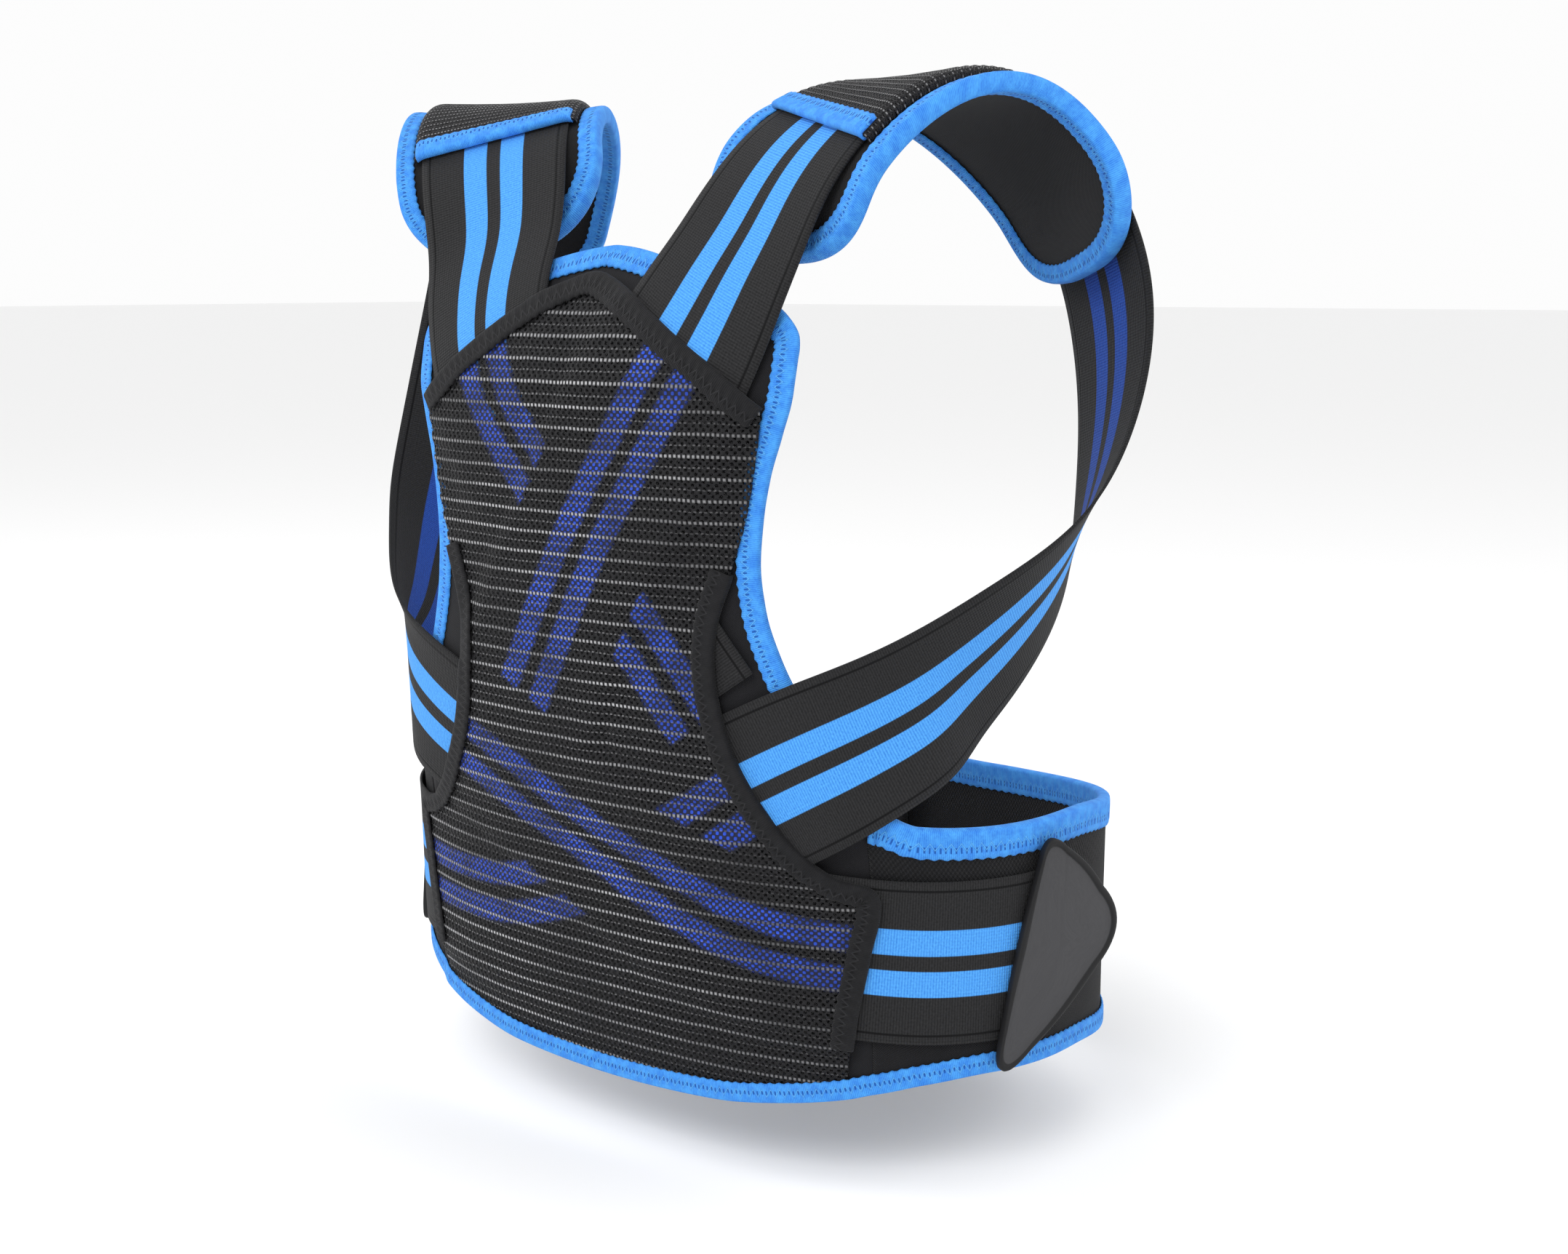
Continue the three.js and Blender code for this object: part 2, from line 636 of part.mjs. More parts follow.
// Frame of the strap over the shoulder: lane curves give its middle, the direction across and out
const frameSteps = 240;
function shoulderFrames(side) {
  const rows = loopRows(side);
  const curves = [0, lanes.length - 1].map((lane) => {
    return new THREE.CatmullRomCurve3(rows.map((row) => row[lane]), false, 'centripetal');
  });
  const at = (station) => curves.map((curve) => curve.getPoint(station / (rows.length - 1)));
  const frames = [];
  let length = 0;
  for (let step = 0; step <= frameSteps; step += 1) {
    const station = padSpan.start + ((padSpan.end - padSpan.start) * step) / frameSteps;
    const [neck, arm] = at(station);
    const [neckBefore, armBefore] = at(station - 0.05);
    const [neckAfter, armAfter] = at(station + 0.05);
    const middle = neck.clone().add(arm).multiplyScalar(0.5);
    const along = neckAfter.add(armAfter).sub(neckBefore).sub(armBefore).normalize();
    const across = arm.clone().sub(neck);
    across.addScaledVector(along, -across.dot(along)).normalize();
    const out = across.clone().cross(along).normalize().multiplyScalar(side);
    if (step > 0) length += middle.distanceTo(frames[step - 1].middle);
    frames.push({ middle, across, out, along, station, length });
  }
  return frames;
}

// Point of a shoulder pad's map: distance along it from its rear end, distance across, rise off its outer face
function padSurface(side) {
  const frames = shoulderFrames(side);
  const total = frames[frameSteps].length;
  const place = (distance, acrossDistance, rise) => {
    const limited = Math.min(Math.max(distance, 0), total);
    let index = 0;
    while (index < frameSteps - 1 && frames[index + 1].length < limited) index += 1;
    const share = (limited - frames[index].length) / (frames[index + 1].length - frames[index].length);
    const [low, high] = [frames[index], frames[index + 1]];
    const point = low.middle.clone().lerp(high.middle, share);
    const across = low.across.clone().lerp(high.across, share).normalize();
    const out = low.out.clone().lerp(high.out, share).normalize();
    const droop = padRearDroop * (1 - smoothStep(limited, 0, padRearEase));
    const tuck = padFrontDroop * smoothStep(limited, total - padFrontEase, total);
    point.addScaledVector(low.along, distance - limited);
    point.addScaledVector(across, acrossDistance);
    return point.addScaledVector(out, rise - padGap - droop - tuck);
  };
  return { place, total };
}

// Rows along the pad: distance from its rear end and half its width there, rounded at both ends
function padRows(total) {
  const rows = [];
  const turns = 4;
  const half = padWidth / 2;
  const roundness = 0.75;
  for (let turn = 1; turn <= turns; turn += 1) {
    const angle = (Math.PI * turn) / (2 * turns);
    rows.push([padEndLength * (1 - Math.cos(angle)), half * Math.sin(angle) ** roundness]);
  }
  const middleRows = 10;
  const straight = total - 2 * padEndLength;
  for (let row = 1; row < middleRows; row += 1) rows.push([padEndLength + (straight * row) / middleRows, half]);
  for (let turn = turns; turn >= 1; turn -= 1) {
    const angle = (Math.PI * turn) / (2 * turns);
    rows.push([total - padEndLength * (1 - Math.cos(angle)), half * Math.sin(angle) ** roundness]);
  }
  return rows;
}

function padBase({ place, total }) {
  const shares = [-1, -0.6, -0.2, 0.2, 0.6, 1];
  const face = (rise) => padRows(total).map(([distance, half]) => {
    return shares.map((share) => place(distance, share * half, rise));
  });
  return closedSheet(face(-padThickness), face(0));
}

function padTape({ place, total }) {
  const rows = padRows(total);
  const outline = [...rows, ...rows.map(([distance, half]) => [distance, -half]).reverse()];
  const stations = outline.map(([distance, across], index) => {
    const before = outline[(index + outline.length - 1) % outline.length];
    const after = outline[(index + 1) % outline.length];
    const along = new THREE.Vector2(after[0] - before[0], after[1] - before[1]).normalize();
    return {
      place: (inset, rise) => {
        return place(distance + along.y * inset, across - along.x * inset, rise - padThickness - layerGap);
      },
      thickness: padThickness + 2 * layerGap,
    };
  });
  return foldedTape(stations, true);
}

// Mesh sleeve over the strap: its rise over the pad at a distance from the middle
const sleeveHalf = padWidth / 2 - bindingWidth - 2 * layerGap;
const sleeveTop = padGap + elasticThickness + sleeveRoom + bindingThickness + tapeSlack;
const sleeveFlat = elasticWidth / 2 + layerGap;
function sleeveRise(across) {
  const share = Math.min(Math.max((Math.abs(across) - sleeveFlat) / (sleeveHalf - sleeveFlat), 0), 1);
  return THREE.MathUtils.lerp(sleeveTop, layerGap, share);
}
const sleeveLanes = [-1, -0.5, 0, 0.5, 1].map((share) => share * sleeveFlat);
function padSleeve({ place, total }) {
  const rows = 12;
  const lateral = [-sleeveHalf, ...sleeveLanes, sleeveHalf];
  const face = (rise) => Array.from({ length: rows + 1 }, (_, row) => {
    const distance = sleeveStart + ((total - sleeveEnd - sleeveStart) * row) / rows;
    return lateral.map((across) => place(distance, across, sleeveRise(across) + rise));
  });
  return closedSheet(face(0), face(meshThickness));
}
function sleeveTape({ place, total }, atFront) {
  const end = atFront ? total - sleeveEnd : sleeveStart;
  const reach = THREE.MathUtils.lerp(sleeveFlat, sleeveHalf, 0.35);
  const stations = [-reach, ...sleeveLanes, reach].map((across) => ({
    place: (inset, rise) => place(end + (atFront ? -inset : inset), across, sleeveRise(across) + rise),
    thickness: meshThickness,
  }));
  return foldedTape(stations);
}

// Grip tab at the end of the elastic: a rounded triangle that stays stiffer than the belt under it
function gripTab(side) {
  const corners = tabCorners.map(({ forward, up }) => new THREE.Vector2(forward * tabReach, up * tabHeight));
  const outline = [];
  for (const [index, corner] of corners.entries()) {
    const before = corners[(index + 2) % 3].clone().sub(corner).normalize();
    const after = corners[(index + 1) % 3].clone().sub(corner).normalize();
    const cut = tabCorners[index].radius / Math.tan(before.angleTo(after) / 2);
    const start = corner.clone().addScaledVector(before, cut);
    const end = corner.clone().addScaledVector(after, cut);
    const curve = new THREE.QuadraticBezierCurve(start, corner, end);
    outline.push(...curve.getPoints(tabCornerSteps));
  }
  const centre = corners[0].clone().add(corners[1]).add(corners[2]).divideScalar(3);
  const seat = strapOverFoam + elasticThickness + 2 * layerGap;
  const origin = torsoPoint(side * tabWay * wayToFront, tabSeatHeight, seat);
  const ahead = torsoPoint(side * (tabWay * wayToFront + 1), tabSeatHeight, seat);
  const forward = ahead.sub(origin).normalize();
  const out = forward.clone().cross(new THREE.Vector3(0, 0, side)).normalize();
  const place = (point, rise) => {
    const turn = point.x / tabBend;
    const result = origin.clone().addScaledVector(forward, (tabBend + rise) * Math.sin(turn));
    result.addScaledVector(out, (tabBend + rise) * Math.cos(turn) - tabBend);
    result.z += point.y;
    return result;
  };
  const inset = (distance) => outline.map((point) => {
    const reach = point.distanceTo(centre);
    return centre.clone().lerp(point, (reach - distance) / reach);
  });
  const top = tabThickness + tabRimHeight;
  const levels = [[0, 0], [0, top], [tabRimWidth, top], [tabRimWidth * 1.3, tabThickness]];
  const rings = levels.map(([distance, rise]) => inset(distance).map((point) => place(point, rise)));
  return fannedBody(rings, place(centre, 0), place(centre, tabThickness));
}

const pads = {};
for (const [name, side] of Object.entries(sides)) {
  pads[name] = padSurface(side);
  addPiece(`belt_wing_${name}`, beltWing(side), black, 0.9);
  addPiece(`elastic_strap_${name}`, elasticStrap(name, side), black, 0.85);
  addPiece(`shoulder_pad_${name}`, padBase(pads[name]), black, 0.9);
  addPiece(`shoulder_pad_tape_${name}`, padTape(pads[name]), blue, 0.8);
  addPiece(`strap_sleeve_${name}`, padSleeve(pads[name]), meshBlack, 0.95);
  addPiece(`sleeve_rear_tape_${name}`, sleeveTape(pads[name], false), blue, 0.8);
  addPiece(`sleeve_front_tape_${name}`, sleeveTape(pads[name], true), blue, 0.8);
  addPiece(`grip_tab_${name}`, gripTab(side), tabGrey, 0.6);
}

// Tapes over the edges of the panel and the belt
const mirrored = (points) => points.map(([way, height]) => [-way, height]).reverse();
function panelTape() {
  const rightSide = panelLevels.filter((level) => level > panelTapeStart).map((level) => panelPoint(level, 1));
  const top = panelShares.slice(1, -1).reverse().map((share) => panelPoint(1, share));
  const points = [...rightSide, ...top, ...mirrored(rightSide)];
  return foldedTape(mapStations(points, 1, () => 0, () => foamThickness));
}
function beltTopTape(side) {
  const ways = [wingStart + bindingThickness, ...wingWays.slice(1)];
  const points = ways.map((way) => [side * way, upperEdge(way)]);
  const lift = (way) => wingLift(side, Math.abs(way)) - clearance;
  return foldedTape(mapStations(points, -side, lift, () => foamThickness + 2 * clearance, beltTapeWidth));
}
function lowerTape() {
  const meshReach = meshOutline[0].half * panelHalfWidth + bindingThickness;
  const panelWays = panelShares.map((share) => share * seamWay).filter((way) => way > 1 && way < meshReach);
  const right = [...panelWays, meshReach, seamWay, ...wingWays.slice(1)];
  const left = right.map((way) => -way).reverse();
  const points = [...left, 0, ...right].map((way) => [way, lowerEdge(way)]);
  const lift = (way) => (way > 0 ? wingLift(1, way) : 0);
  const held = meshFootLift + meshThickness + clearance;
  const thickness = (way) => {
    return THREE.MathUtils.lerp(held, foamThickness, smoothStep(Math.abs(way), meshReach, wingStart));
  };
  return foldedTape(mapStations(points, 1, lift, thickness));
}
addPiece('panel_edge_tape', panelTape(), blue, 0.8);
addPiece('lower_edge_tape', lowerTape(), blue, 0.8);
addPiece('belt_top_tape_right', beltTopTape(1), blue, 0.8);
addPiece('belt_top_tape_left', beltTopTape(-1), blue, 0.8);

// Black tapes over the free edges of the mesh cover
const meshTapeLift = (way, height) => meshInnerLift(way, height) - meshTapeDrop;
function roofTape() {
  const corner = meshOutline.findIndex(({ height }) => height > 0.84);
  const rightSide = meshOutline.slice(corner).map((row) => meshPoint(row, 1));
  const points = [...rightSide, ...mirrored(rightSide)];
  return foldedTape(mapStations(points, 1, meshTapeLift, () => meshThickness + 2 * layerGap));
}
function meshSideTape(side) {
  const { lower, upper } = meshSideTapeEnds;
  const edge = meshOutline.filter(({ height }) => height >= lower && height <= upper);
  const points = edge.map((row) => meshPoint(row, side));
  return foldedTape(mapStations(points, side, meshTapeLift, () => meshThickness + 2 * layerGap));
}
addPiece('roof_tape', roofTape(), black, 0.85);
addPiece('mesh_side_tape_right', meshSideTape(1), black, 0.85);
addPiece('mesh_side_tape_left', meshSideTape(-1), black, 0.85);

export default group;
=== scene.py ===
import math

import bmesh
import bpy
import numpy as np
from mathutils import Matrix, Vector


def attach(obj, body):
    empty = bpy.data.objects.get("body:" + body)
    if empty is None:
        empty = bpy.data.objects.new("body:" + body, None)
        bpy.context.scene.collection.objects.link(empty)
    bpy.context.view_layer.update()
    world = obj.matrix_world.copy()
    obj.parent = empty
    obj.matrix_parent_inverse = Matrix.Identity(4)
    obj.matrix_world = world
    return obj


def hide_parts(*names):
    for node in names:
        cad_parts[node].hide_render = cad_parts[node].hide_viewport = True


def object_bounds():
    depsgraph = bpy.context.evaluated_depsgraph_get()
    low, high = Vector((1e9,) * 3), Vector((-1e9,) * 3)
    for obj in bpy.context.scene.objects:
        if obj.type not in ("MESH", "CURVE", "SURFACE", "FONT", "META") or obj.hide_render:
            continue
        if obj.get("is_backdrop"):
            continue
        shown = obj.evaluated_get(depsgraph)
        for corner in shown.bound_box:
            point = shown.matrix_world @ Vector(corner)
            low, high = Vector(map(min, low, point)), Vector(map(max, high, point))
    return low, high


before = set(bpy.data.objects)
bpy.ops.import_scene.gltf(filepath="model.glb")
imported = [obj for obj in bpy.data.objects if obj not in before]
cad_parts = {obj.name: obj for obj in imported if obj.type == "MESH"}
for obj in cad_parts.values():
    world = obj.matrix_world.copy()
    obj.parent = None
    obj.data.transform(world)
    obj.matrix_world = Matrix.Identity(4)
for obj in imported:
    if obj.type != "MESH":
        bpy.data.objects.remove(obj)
cad_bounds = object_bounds()

# Overall sizes, in millimetres
PANEL_HEIGHT = 395
PANEL_HALF_WIDTH = 145
TORSO_HALF_WIDTH = 192
TORSO_BACK_DEPTH = 134
TORSO_FRONT_DEPTH = 121
TORSO_SQUARENESS = 2.5
WAIST_SHARE = 0.88
BELT_HEIGHT = 140
LOOP_REACH = 200
LAP_LENGTH = 25
LAP_GAP = 2.6
LAP_EASE = 60
# the frame's origin, seen from the waist's middle at the panel's foot
SHOULDERS = (0, -32, 474)

# Cloth
FOAM_THICKNESS = 3
MESH_THICKNESS = 1.2
ELASTIC_THICKNESS = 1.2
ELASTIC_WIDTH = 79
PAD_THICKNESS = 6
PAD_WIDTH = 107
TAPE_WALL = 1
TAPE_WIDTH = 9
BELT_TAPE_WIDTH = 13
TAPE_SLACK = 0.5
TAPE_PUCKER = 0.32
TAPE_PITCH = 4.6
BELT_TAPE_PITCH = 5.4
STRAP_OVER_FOAM = 4.2
STRAP_OVER_TAPE = 5.3
STRAP_OVER_STRAP = 6.2
TOP_TAPE_LIFT = 7
MESH_FOOT_LIFT = 3.6
MESH_SIDE_LIFT = 4.6
MESH_FREE_LIFT = 5.0
MESH_OVER_STRAP = 1.1
MESH_DIP = 16
STRAP_END_WAY = 0.44
# the straps are kept off the back below this height, within this half width and behind this depth
KEEP_OFF_TOP = (398, 420)
KEEP_OFF_SIDE = (142, 160)
KEEP_OFF_DEPTH = -60
STRIPE_INNER = 3.75
STRIPE_OUTER = 16.25
EDGE_LINE = (34.5, 35.6)
RIB_PITCH = 1.3
CORD_PITCH = 1.6
NET_HOLE_PITCH = 3.5
SLEEVE_HOLE_PITCH = 2.7
NET_ROW_PITCH = 9.8
SLEEVE_ROW_PITCH = 4.2

# Shoulder pads and sleeves
PAD_GAP = 1.5
PAD_END_LENGTH = 42
PAD_REAR_DROOP = 8
PAD_REAR_EASE = 60
PAD_FRONT_DROOP = 3
PAD_FRONT_EASE = 50
# stations of the arm loop between which the pad lies
PAD_SPAN = (0.1, 8.7)
SLEEVE_START = 62
SLEEVE_END = 37
SLEEVE_ROOM = 2.6

# Grip tab
TAB_WAY = 0.403
TAB_SEAT_HEIGHT = 80
TAB_HEIGHT = 114
TAB_REACH = 80
TAB_THICKNESS = 3
TAB_RIM_WIDTH = 3.5
TAB_RIM_HEIGHT = 1.2
TAB_GAP = 1.2
TAB_BULGE = 1.6
# forward and up as shares of the tab's reach and height, corner radius
TAB_CORNERS = ((0.2, 0.535, 9), (-0.2, -0.575, 10), (0.9, 0.05, 26))

# Fineness of the cloth grids
STRAP_STEP = 3
TAPE_STEP = 1.15
STRAP_COLUMNS = 17
# reach of the smoothing along the free straps
STRAP_EASE = 26
LIFT_EASE = 18

SIDES = {"right": 1, "left": -1}

# height and depth of the back, as shares of PANEL_HEIGHT and TORSO_BACK_DEPTH
BACK_PROFILE = (
    (0.0, 0.843),
    (0.15, 0.866),
    (0.29, 0.881),
    (0.38, 0.933),
    (0.51, 0.978),
    (0.68, 1.0),
    (0.85, 1.0),
    (0.9, 0.975),
    (0.945, 0.925),
    (1.0, 0.805),
    (1.03, 0.735),
)

# height and half width of the foam panel, as shares
PANEL_OUTLINE = (
    (0.0, 0.976),
    (0.36, 0.976),
    (0.405, 0.924),
    (0.443, 0.862),
    (0.48, 0.8),
    (0.53, 0.73),
    (0.582, 0.683),
    (0.633, 0.667),
    (0.684, 0.677),
    (0.734, 0.7),
    (0.785, 0.738),
    (0.835, 0.769),
    (0.88, 0.772),
    (0.9, 0.75),
    (0.907, 0.7),
)

# height and half width of the mesh cover, as shares
MESH_OUTLINE = (
    (0.0, 0.89),
    (0.035, 0.898),
    (0.07, 0.91),
    (0.13, 0.93),
    (0.21, 0.965),
    (0.29, 0.99),
    (0.308, 0.87),
    (0.34, 0.76),
    (0.385, 0.665),
    (0.44, 0.585),
    (0.495, 0.542),
    (0.55, 0.523),
    (0.605, 0.54),
    (0.66, 0.59),
    (0.72, 0.64),
    (0.78, 0.67),
    (0.845, 0.69),
    (0.869, 0.592),
    (0.893, 0.495),
    (0.914, 0.397),
    (0.935, 0.3),
    (0.965, 0.145),
    (0.978, 0.06),
    (0.982, 0.02),
)

# share of the way to the front, lower and upper edge as shares of BELT_HEIGHT
BELT_EDGES = (
    (0.0, 0.0, 1.1),
    (0.12, 0.014, 1.1),
    (0.2, 0.055, 1.1),
    (0.285, 0.12, 1.08),
    (0.32, 0.15, 1.03),
    (0.38, 0.175, 1.015),
    (0.5, 0.155, 1.0),
    (0.6, 0.105, 0.95),
    (0.8, 0.06, 0.87),
    (1.0, 0.045, 0.84),
)

# right, front and up as shares of LOOP_REACH, direction across towards the arm
ARM_LOOP = (
    (0.36, -0.527, 2.01, (0.93, -0.21, -0.3)),
    (0.42, -0.49, 2.175, (0.92, -0.31, -0.24)),
    (0.48, -0.42, 2.285, (0.91, -0.36, -0.2)),
    (0.565, -0.305, 2.375, (0.93, -0.36, -0.05)),
    (0.645, -0.16, 2.405, (0.92, -0.37, 0.03)),
    (0.725, -0.025, 2.345, (0.88, -0.46, 0.09)),
    (0.8, 0.035, 2.26, (0.86, -0.5, 0.15)),
    (0.87, 0.075, 2.17, (0.82, -0.55, 0.2)),
    (0.92, 0.09, 2.07, (0.82, -0.56, 0.1)),
    (0.975, 0.1, 1.92, (0.84, -0.55, 0)),
    (1.01, 0.045, 1.635, (0.71, -0.71, 0.06)),
    (0.995, -0.04, 1.415, (0.57, -0.77, 0.29)),
    (0.995, -0.085, 1.325, (0.36, -0.9, 0.24)),
    (0.97, -0.15, 1.25, (0.28, -0.82, 0.5)),
    (0.925, -0.2, 1.195, (0.18, -0.78, 0.6)),
    (0.86, -0.325, 1.08, (0.12, -0.54, 0.83)),
    (0.79, -0.425, 1.0, (-0.05, -0.53, 0.85)),
    (0.73, -0.48, 0.955, (-0.04, -0.48, 0.87)),
    (0.655, -0.56, 0.91, (-0.1, -0.3, 0.9)),
)

# towards the strap's own arm, height, lift in millimetres
UPPER_ROUTES = {
    "right": (
        (-0.207, 0.504, STRAP_OVER_STRAP),
        (0.055, 0.684, STRAP_OVER_STRAP),
        (0.28, 0.82, 6.0),
        (0.35, 0.865, 5.0),
        (0.43, 0.915, STRAP_OVER_FOAM),
    ),
    "left": (
        (-0.435, 0.491, STRAP_OVER_FOAM),
        (-0.055, 0.684, STRAP_OVER_FOAM),
        (0.28, 0.82, STRAP_OVER_FOAM),
        (0.43, 0.915, STRAP_OVER_FOAM),
    ),
}

# towards the strap's own arm, height, lift in millimetres
LOWER_ROUTES = {
    "right": (
        (0.8, 0.435, STRAP_OVER_TAPE),
        (0.675, 0.413, STRAP_OVER_FOAM),
        (0.4, 0.35, STRAP_OVER_FOAM),
        (0.0, 0.265, STRAP_OVER_FOAM),
        (-0.4, 0.212, STRAP_OVER_FOAM),
        (-0.75, 0.2, STRAP_OVER_FOAM),
        (-1.1, 0.2, 4.5),
    ),
    "left": (
        (0.8, 0.435, STRAP_OVER_TAPE),
        (0.675, 0.42, STRAP_OVER_TAPE),
        (0.4, 0.385, 6.0),
        (0.0, 0.315, STRAP_OVER_STRAP),
        (-0.4, 0.25, STRAP_OVER_STRAP),
        (-0.62, 0.225, 6.1),
        (-0.8, 0.215, 5.7),
        (-1.1, 0.205, 4.5),
    ),
}

PANEL_TOP_ARCH = 0.113
PANEL_TAPE_START = 0.42
MESH_SIDE_TAPE = (0.07, 0.66)
MESH_TIP_START = 0.965

# Camera: place in metres from the waist's middle at the panel's foot, degrees, and millimetres of lens
CAMERA_PLACE = (0.586, -0.801, 0.389)
CAMERA_YAW = 35.1
CAMERA_PITCH = -10.3
CAMERA_LENS = 43.6


def table_curve(rows, column):
    """A smooth curve without overshoot through a table's first column and another one."""
    at = np.array([row[0] for row in rows], float)
    values = np.array([row[column] for row in rows], float)
    rises = np.diff(values) / np.diff(at)
    slopes = np.zeros(len(at))
    product = rises[:-1] * rises[1:]
    total = rises[:-1] + rises[1:]
    safe = np.where(np.abs(total) > 1e-12, total, 1)
    slopes[1:-1] = np.where(product <= 0, 0, 2 * product / safe)

    def read(place):
        limited = np.clip(place, at[0], at[-1])
        index = np.clip(np.searchsorted(at, limited, side="right") - 1, 0, len(at) - 2)
        span = at[index + 1] - at[index]
        share = (limited - at[index]) / span
        square = share * share
        cube = square * share
        return (
            values[index] * (2 * cube - 3 * square + 1)
            + slopes[index] * span * (cube - 2 * square + share)
            + values[index + 1] * (3 * square - 2 * cube)
            + slopes[index + 1] * span * (cube - square)
        )

    return read


def smooth_step(value, start, end):
    """0 up to start, 1 from end on, and a smooth rise between."""
    share = np.clip((value - start) / (end - start), 0, 1)
    return share * share * (3 - 2 * share)


def matched(*values):
    """Numbers or grids brought to one shape."""
    return np.broadcast_arrays(*[np.asarray(value, float) for value in values])


def unit(vectors):
    """The same directions with length 1."""
    length = np.linalg.norm(vectors, axis=-1, keepdims=True)
    return vectors / np.maximum(length, 1e-9)


def spline(points, counts):
    """Points of a smooth curve through given points; counts says how many pieces each span has."""
    middle = points.reshape(len(points), -1, points.shape[-1]).mean(axis=1)
    chords = np.sqrt(np.maximum(np.linalg.norm(np.diff(middle, axis=0), axis=-1), 1e-9))
    knots = np.concatenate([[0], np.cumsum(chords)])
    shape = (-1,) + (1,) * (points.ndim - 1)
    rises = np.diff(points, axis=0) / chords.reshape(shape)
    before = chords[:-1].reshape(shape)
    after = chords[1:].reshape(shape)
    inner = (rises[:-1] * after + rises[1:] * before) / (before + after)
    slopes = np.concatenate([rises[:1], inner, rises[-1:]])
    result = []
    for index, count in enumerate(counts):
        span = knots[index + 1] - knots[index]
        share = (np.arange(count) / count).reshape(shape)
        square = share * share
        cube = square * share
        result.append(
            points[index] * (2 * cube - 3 * square + 1)
            + slopes[index] * span * (cube - 2 * square + share)
            + points[index + 1] * (3 * square - 2 * cube)
            + slopes[index + 1] * span * (cube - square)
        )
    result.append(points[-1:])
    return np.concatenate(result)


def span_counts(points, step):
    """How many pieces of about the given length each span takes."""
    middle = points.reshape(len(points), -1, points.shape[-1]).mean(axis=1)
    lengths = np.linalg.norm(np.diff(middle, axis=0), axis=-1)
    return np.maximum(1, np.round(lengths / step)).astype(int)


def distance_along(points):
    """Length of a line of points from its start to each of them."""
    return np.concatenate([[0], np.cumsum(np.linalg.norm(np.diff(points, axis=0), axis=-1))])


def even_line(points, step):
    """The same line with equal pieces of about the given length."""
    fine = spline(points, span_counts(points, step / 4))
    lengths = distance_along(fine)
    count = max(2, int(round(lengths[-1] / step)))
    at = np.linspace(0, lengths[-1], count + 1)
    return np.stack([np.interp(at, lengths, fine[:, axis]) for axis in range(fine.shape[1])], axis=-1)


# Torso section: way round the waist, place sideways and share of the depth
def torso_section(steps=1440):
    turn = np.linspace(0, math.pi, steps + 1)
    power = 2 / TORSO_SQUARENESS
    sideways = TORSO_HALF_WIDTH * np.clip(np.sin(turn), 0, 1) ** power
    depth = np.sign(np.cos(turn)) * np.abs(np.cos(turn)) ** power
    place = depth * np.where(depth > 0, WAIST_SHARE * TORSO_BACK_DEPTH, TORSO_FRONT_DEPTH)
    way = np.concatenate([[0], np.cumsum(np.hypot(np.diff(sideways), np.diff(place)))])
    return way, sideways, depth


SECTION_WAY, SECTION_SIDEWAYS, SECTION_DEPTH = torso_section()
WAY_TO_FRONT = SECTION_WAY[-1]
depth_at = table_curve(BACK_PROFILE, 1)


def torso_skin(way, height):
    """Points on the body; beyond the front's middle they run on to the other side."""
    beyond = np.abs(way) > WAY_TO_FRONT
    distance = np.where(beyond, 2 * WAY_TO_FRONT - np.abs(way), np.abs(way))
    sideways = np.interp(distance, SECTION_WAY, SECTION_SIDEWAYS)
    depth = np.interp(distance, SECTION_WAY, SECTION_DEPTH)
    back = depth_at(height / PANEL_HEIGHT) * TORSO_BACK_DEPTH
    side = np.where(way < 0, -1, 1) * np.where(beyond, -1, 1)
    return np.stack(
        [side * sideways, -depth * np.where(depth > 0, back, TORSO_FRONT_DEPTH), height + 0 * sideways],
        axis=-1,
    )


def torso_point(way, height, lift):
    """Points of the torso map at the given lift off the body."""
    way, height, lift = matched(way, height, lift)
    round_body = torso_skin(way + 1, height) - torso_skin(way - 1, height)
    upward = torso_skin(way, height + 1) - torso_skin(way, height - 1)
    normal = unit(np.cross(round_body, upward))
    return torso_skin(way, height) + normal * lift[..., None]


belt_lower = table_curve(BELT_EDGES, 1)
belt_upper = table_curve(BELT_EDGES, 2)
panel_half = table_curve(PANEL_OUTLINE, 1)
mesh_half = table_curve(MESH_OUTLINE, 1)
SEAM_WAY = panel_half(0) * PANEL_HALF_WIDTH
WING_END = WAY_TO_FRONT + LAP_LENGTH
LAP_LIFT = FOAM_THICKNESS + 2 * TAPE_WALL + LAP_GAP


def lower_edge(way):
    return BELT_HEIGHT * belt_lower(np.minimum(np.abs(way) / WAY_TO_FRONT, 1))


def upper_edge(way):
    return BELT_HEIGHT * belt_upper(np.minimum(np.abs(way) / WAY_TO_FRONT, 1))


def panel_point(level, across):
    """Way and height of a point of the panel, both coordinates as shares."""
    top = PANEL_OUTLINE[-1][0]
    half = panel_half(level * top)
    arch = PANEL_TOP_ARCH * (1 - np.abs(across * half) ** 1.3)
    foot = (1 - level) * lower_edge(across * half * PANEL_HALF_WIDTH)
    return across * half * PANEL_HALF_WIDTH, level * (top + arch) * PANEL_HEIGHT + foot


def top_edge(across):
    shape = 1 - np.minimum(across / PANEL_HALF_WIDTH, 1) ** 1.3
    return (PANEL_OUTLINE[-1][0] + PANEL_TOP_ARCH * shape) * PANEL_HEIGHT


def wing_lift(side, way):
    """How far the right wing is lifted where it laps over the left one."""
    start = WAY_TO_FRONT - LAP_LENGTH - LAP_EASE
    return LAP_LIFT * smooth_step(np.abs(way), start, start + LAP_EASE) * (1 if side > 0 else 0)


# Straps
LANES = np.linspace(-1, 1, STRAP_COLUMNS)


def route_points(route, side):
    """A route's places on the torso map: way, height and lift."""
    return np.array(route) * (side * PANEL_HALF_WIDTH, PANEL_HEIGHT, 1)


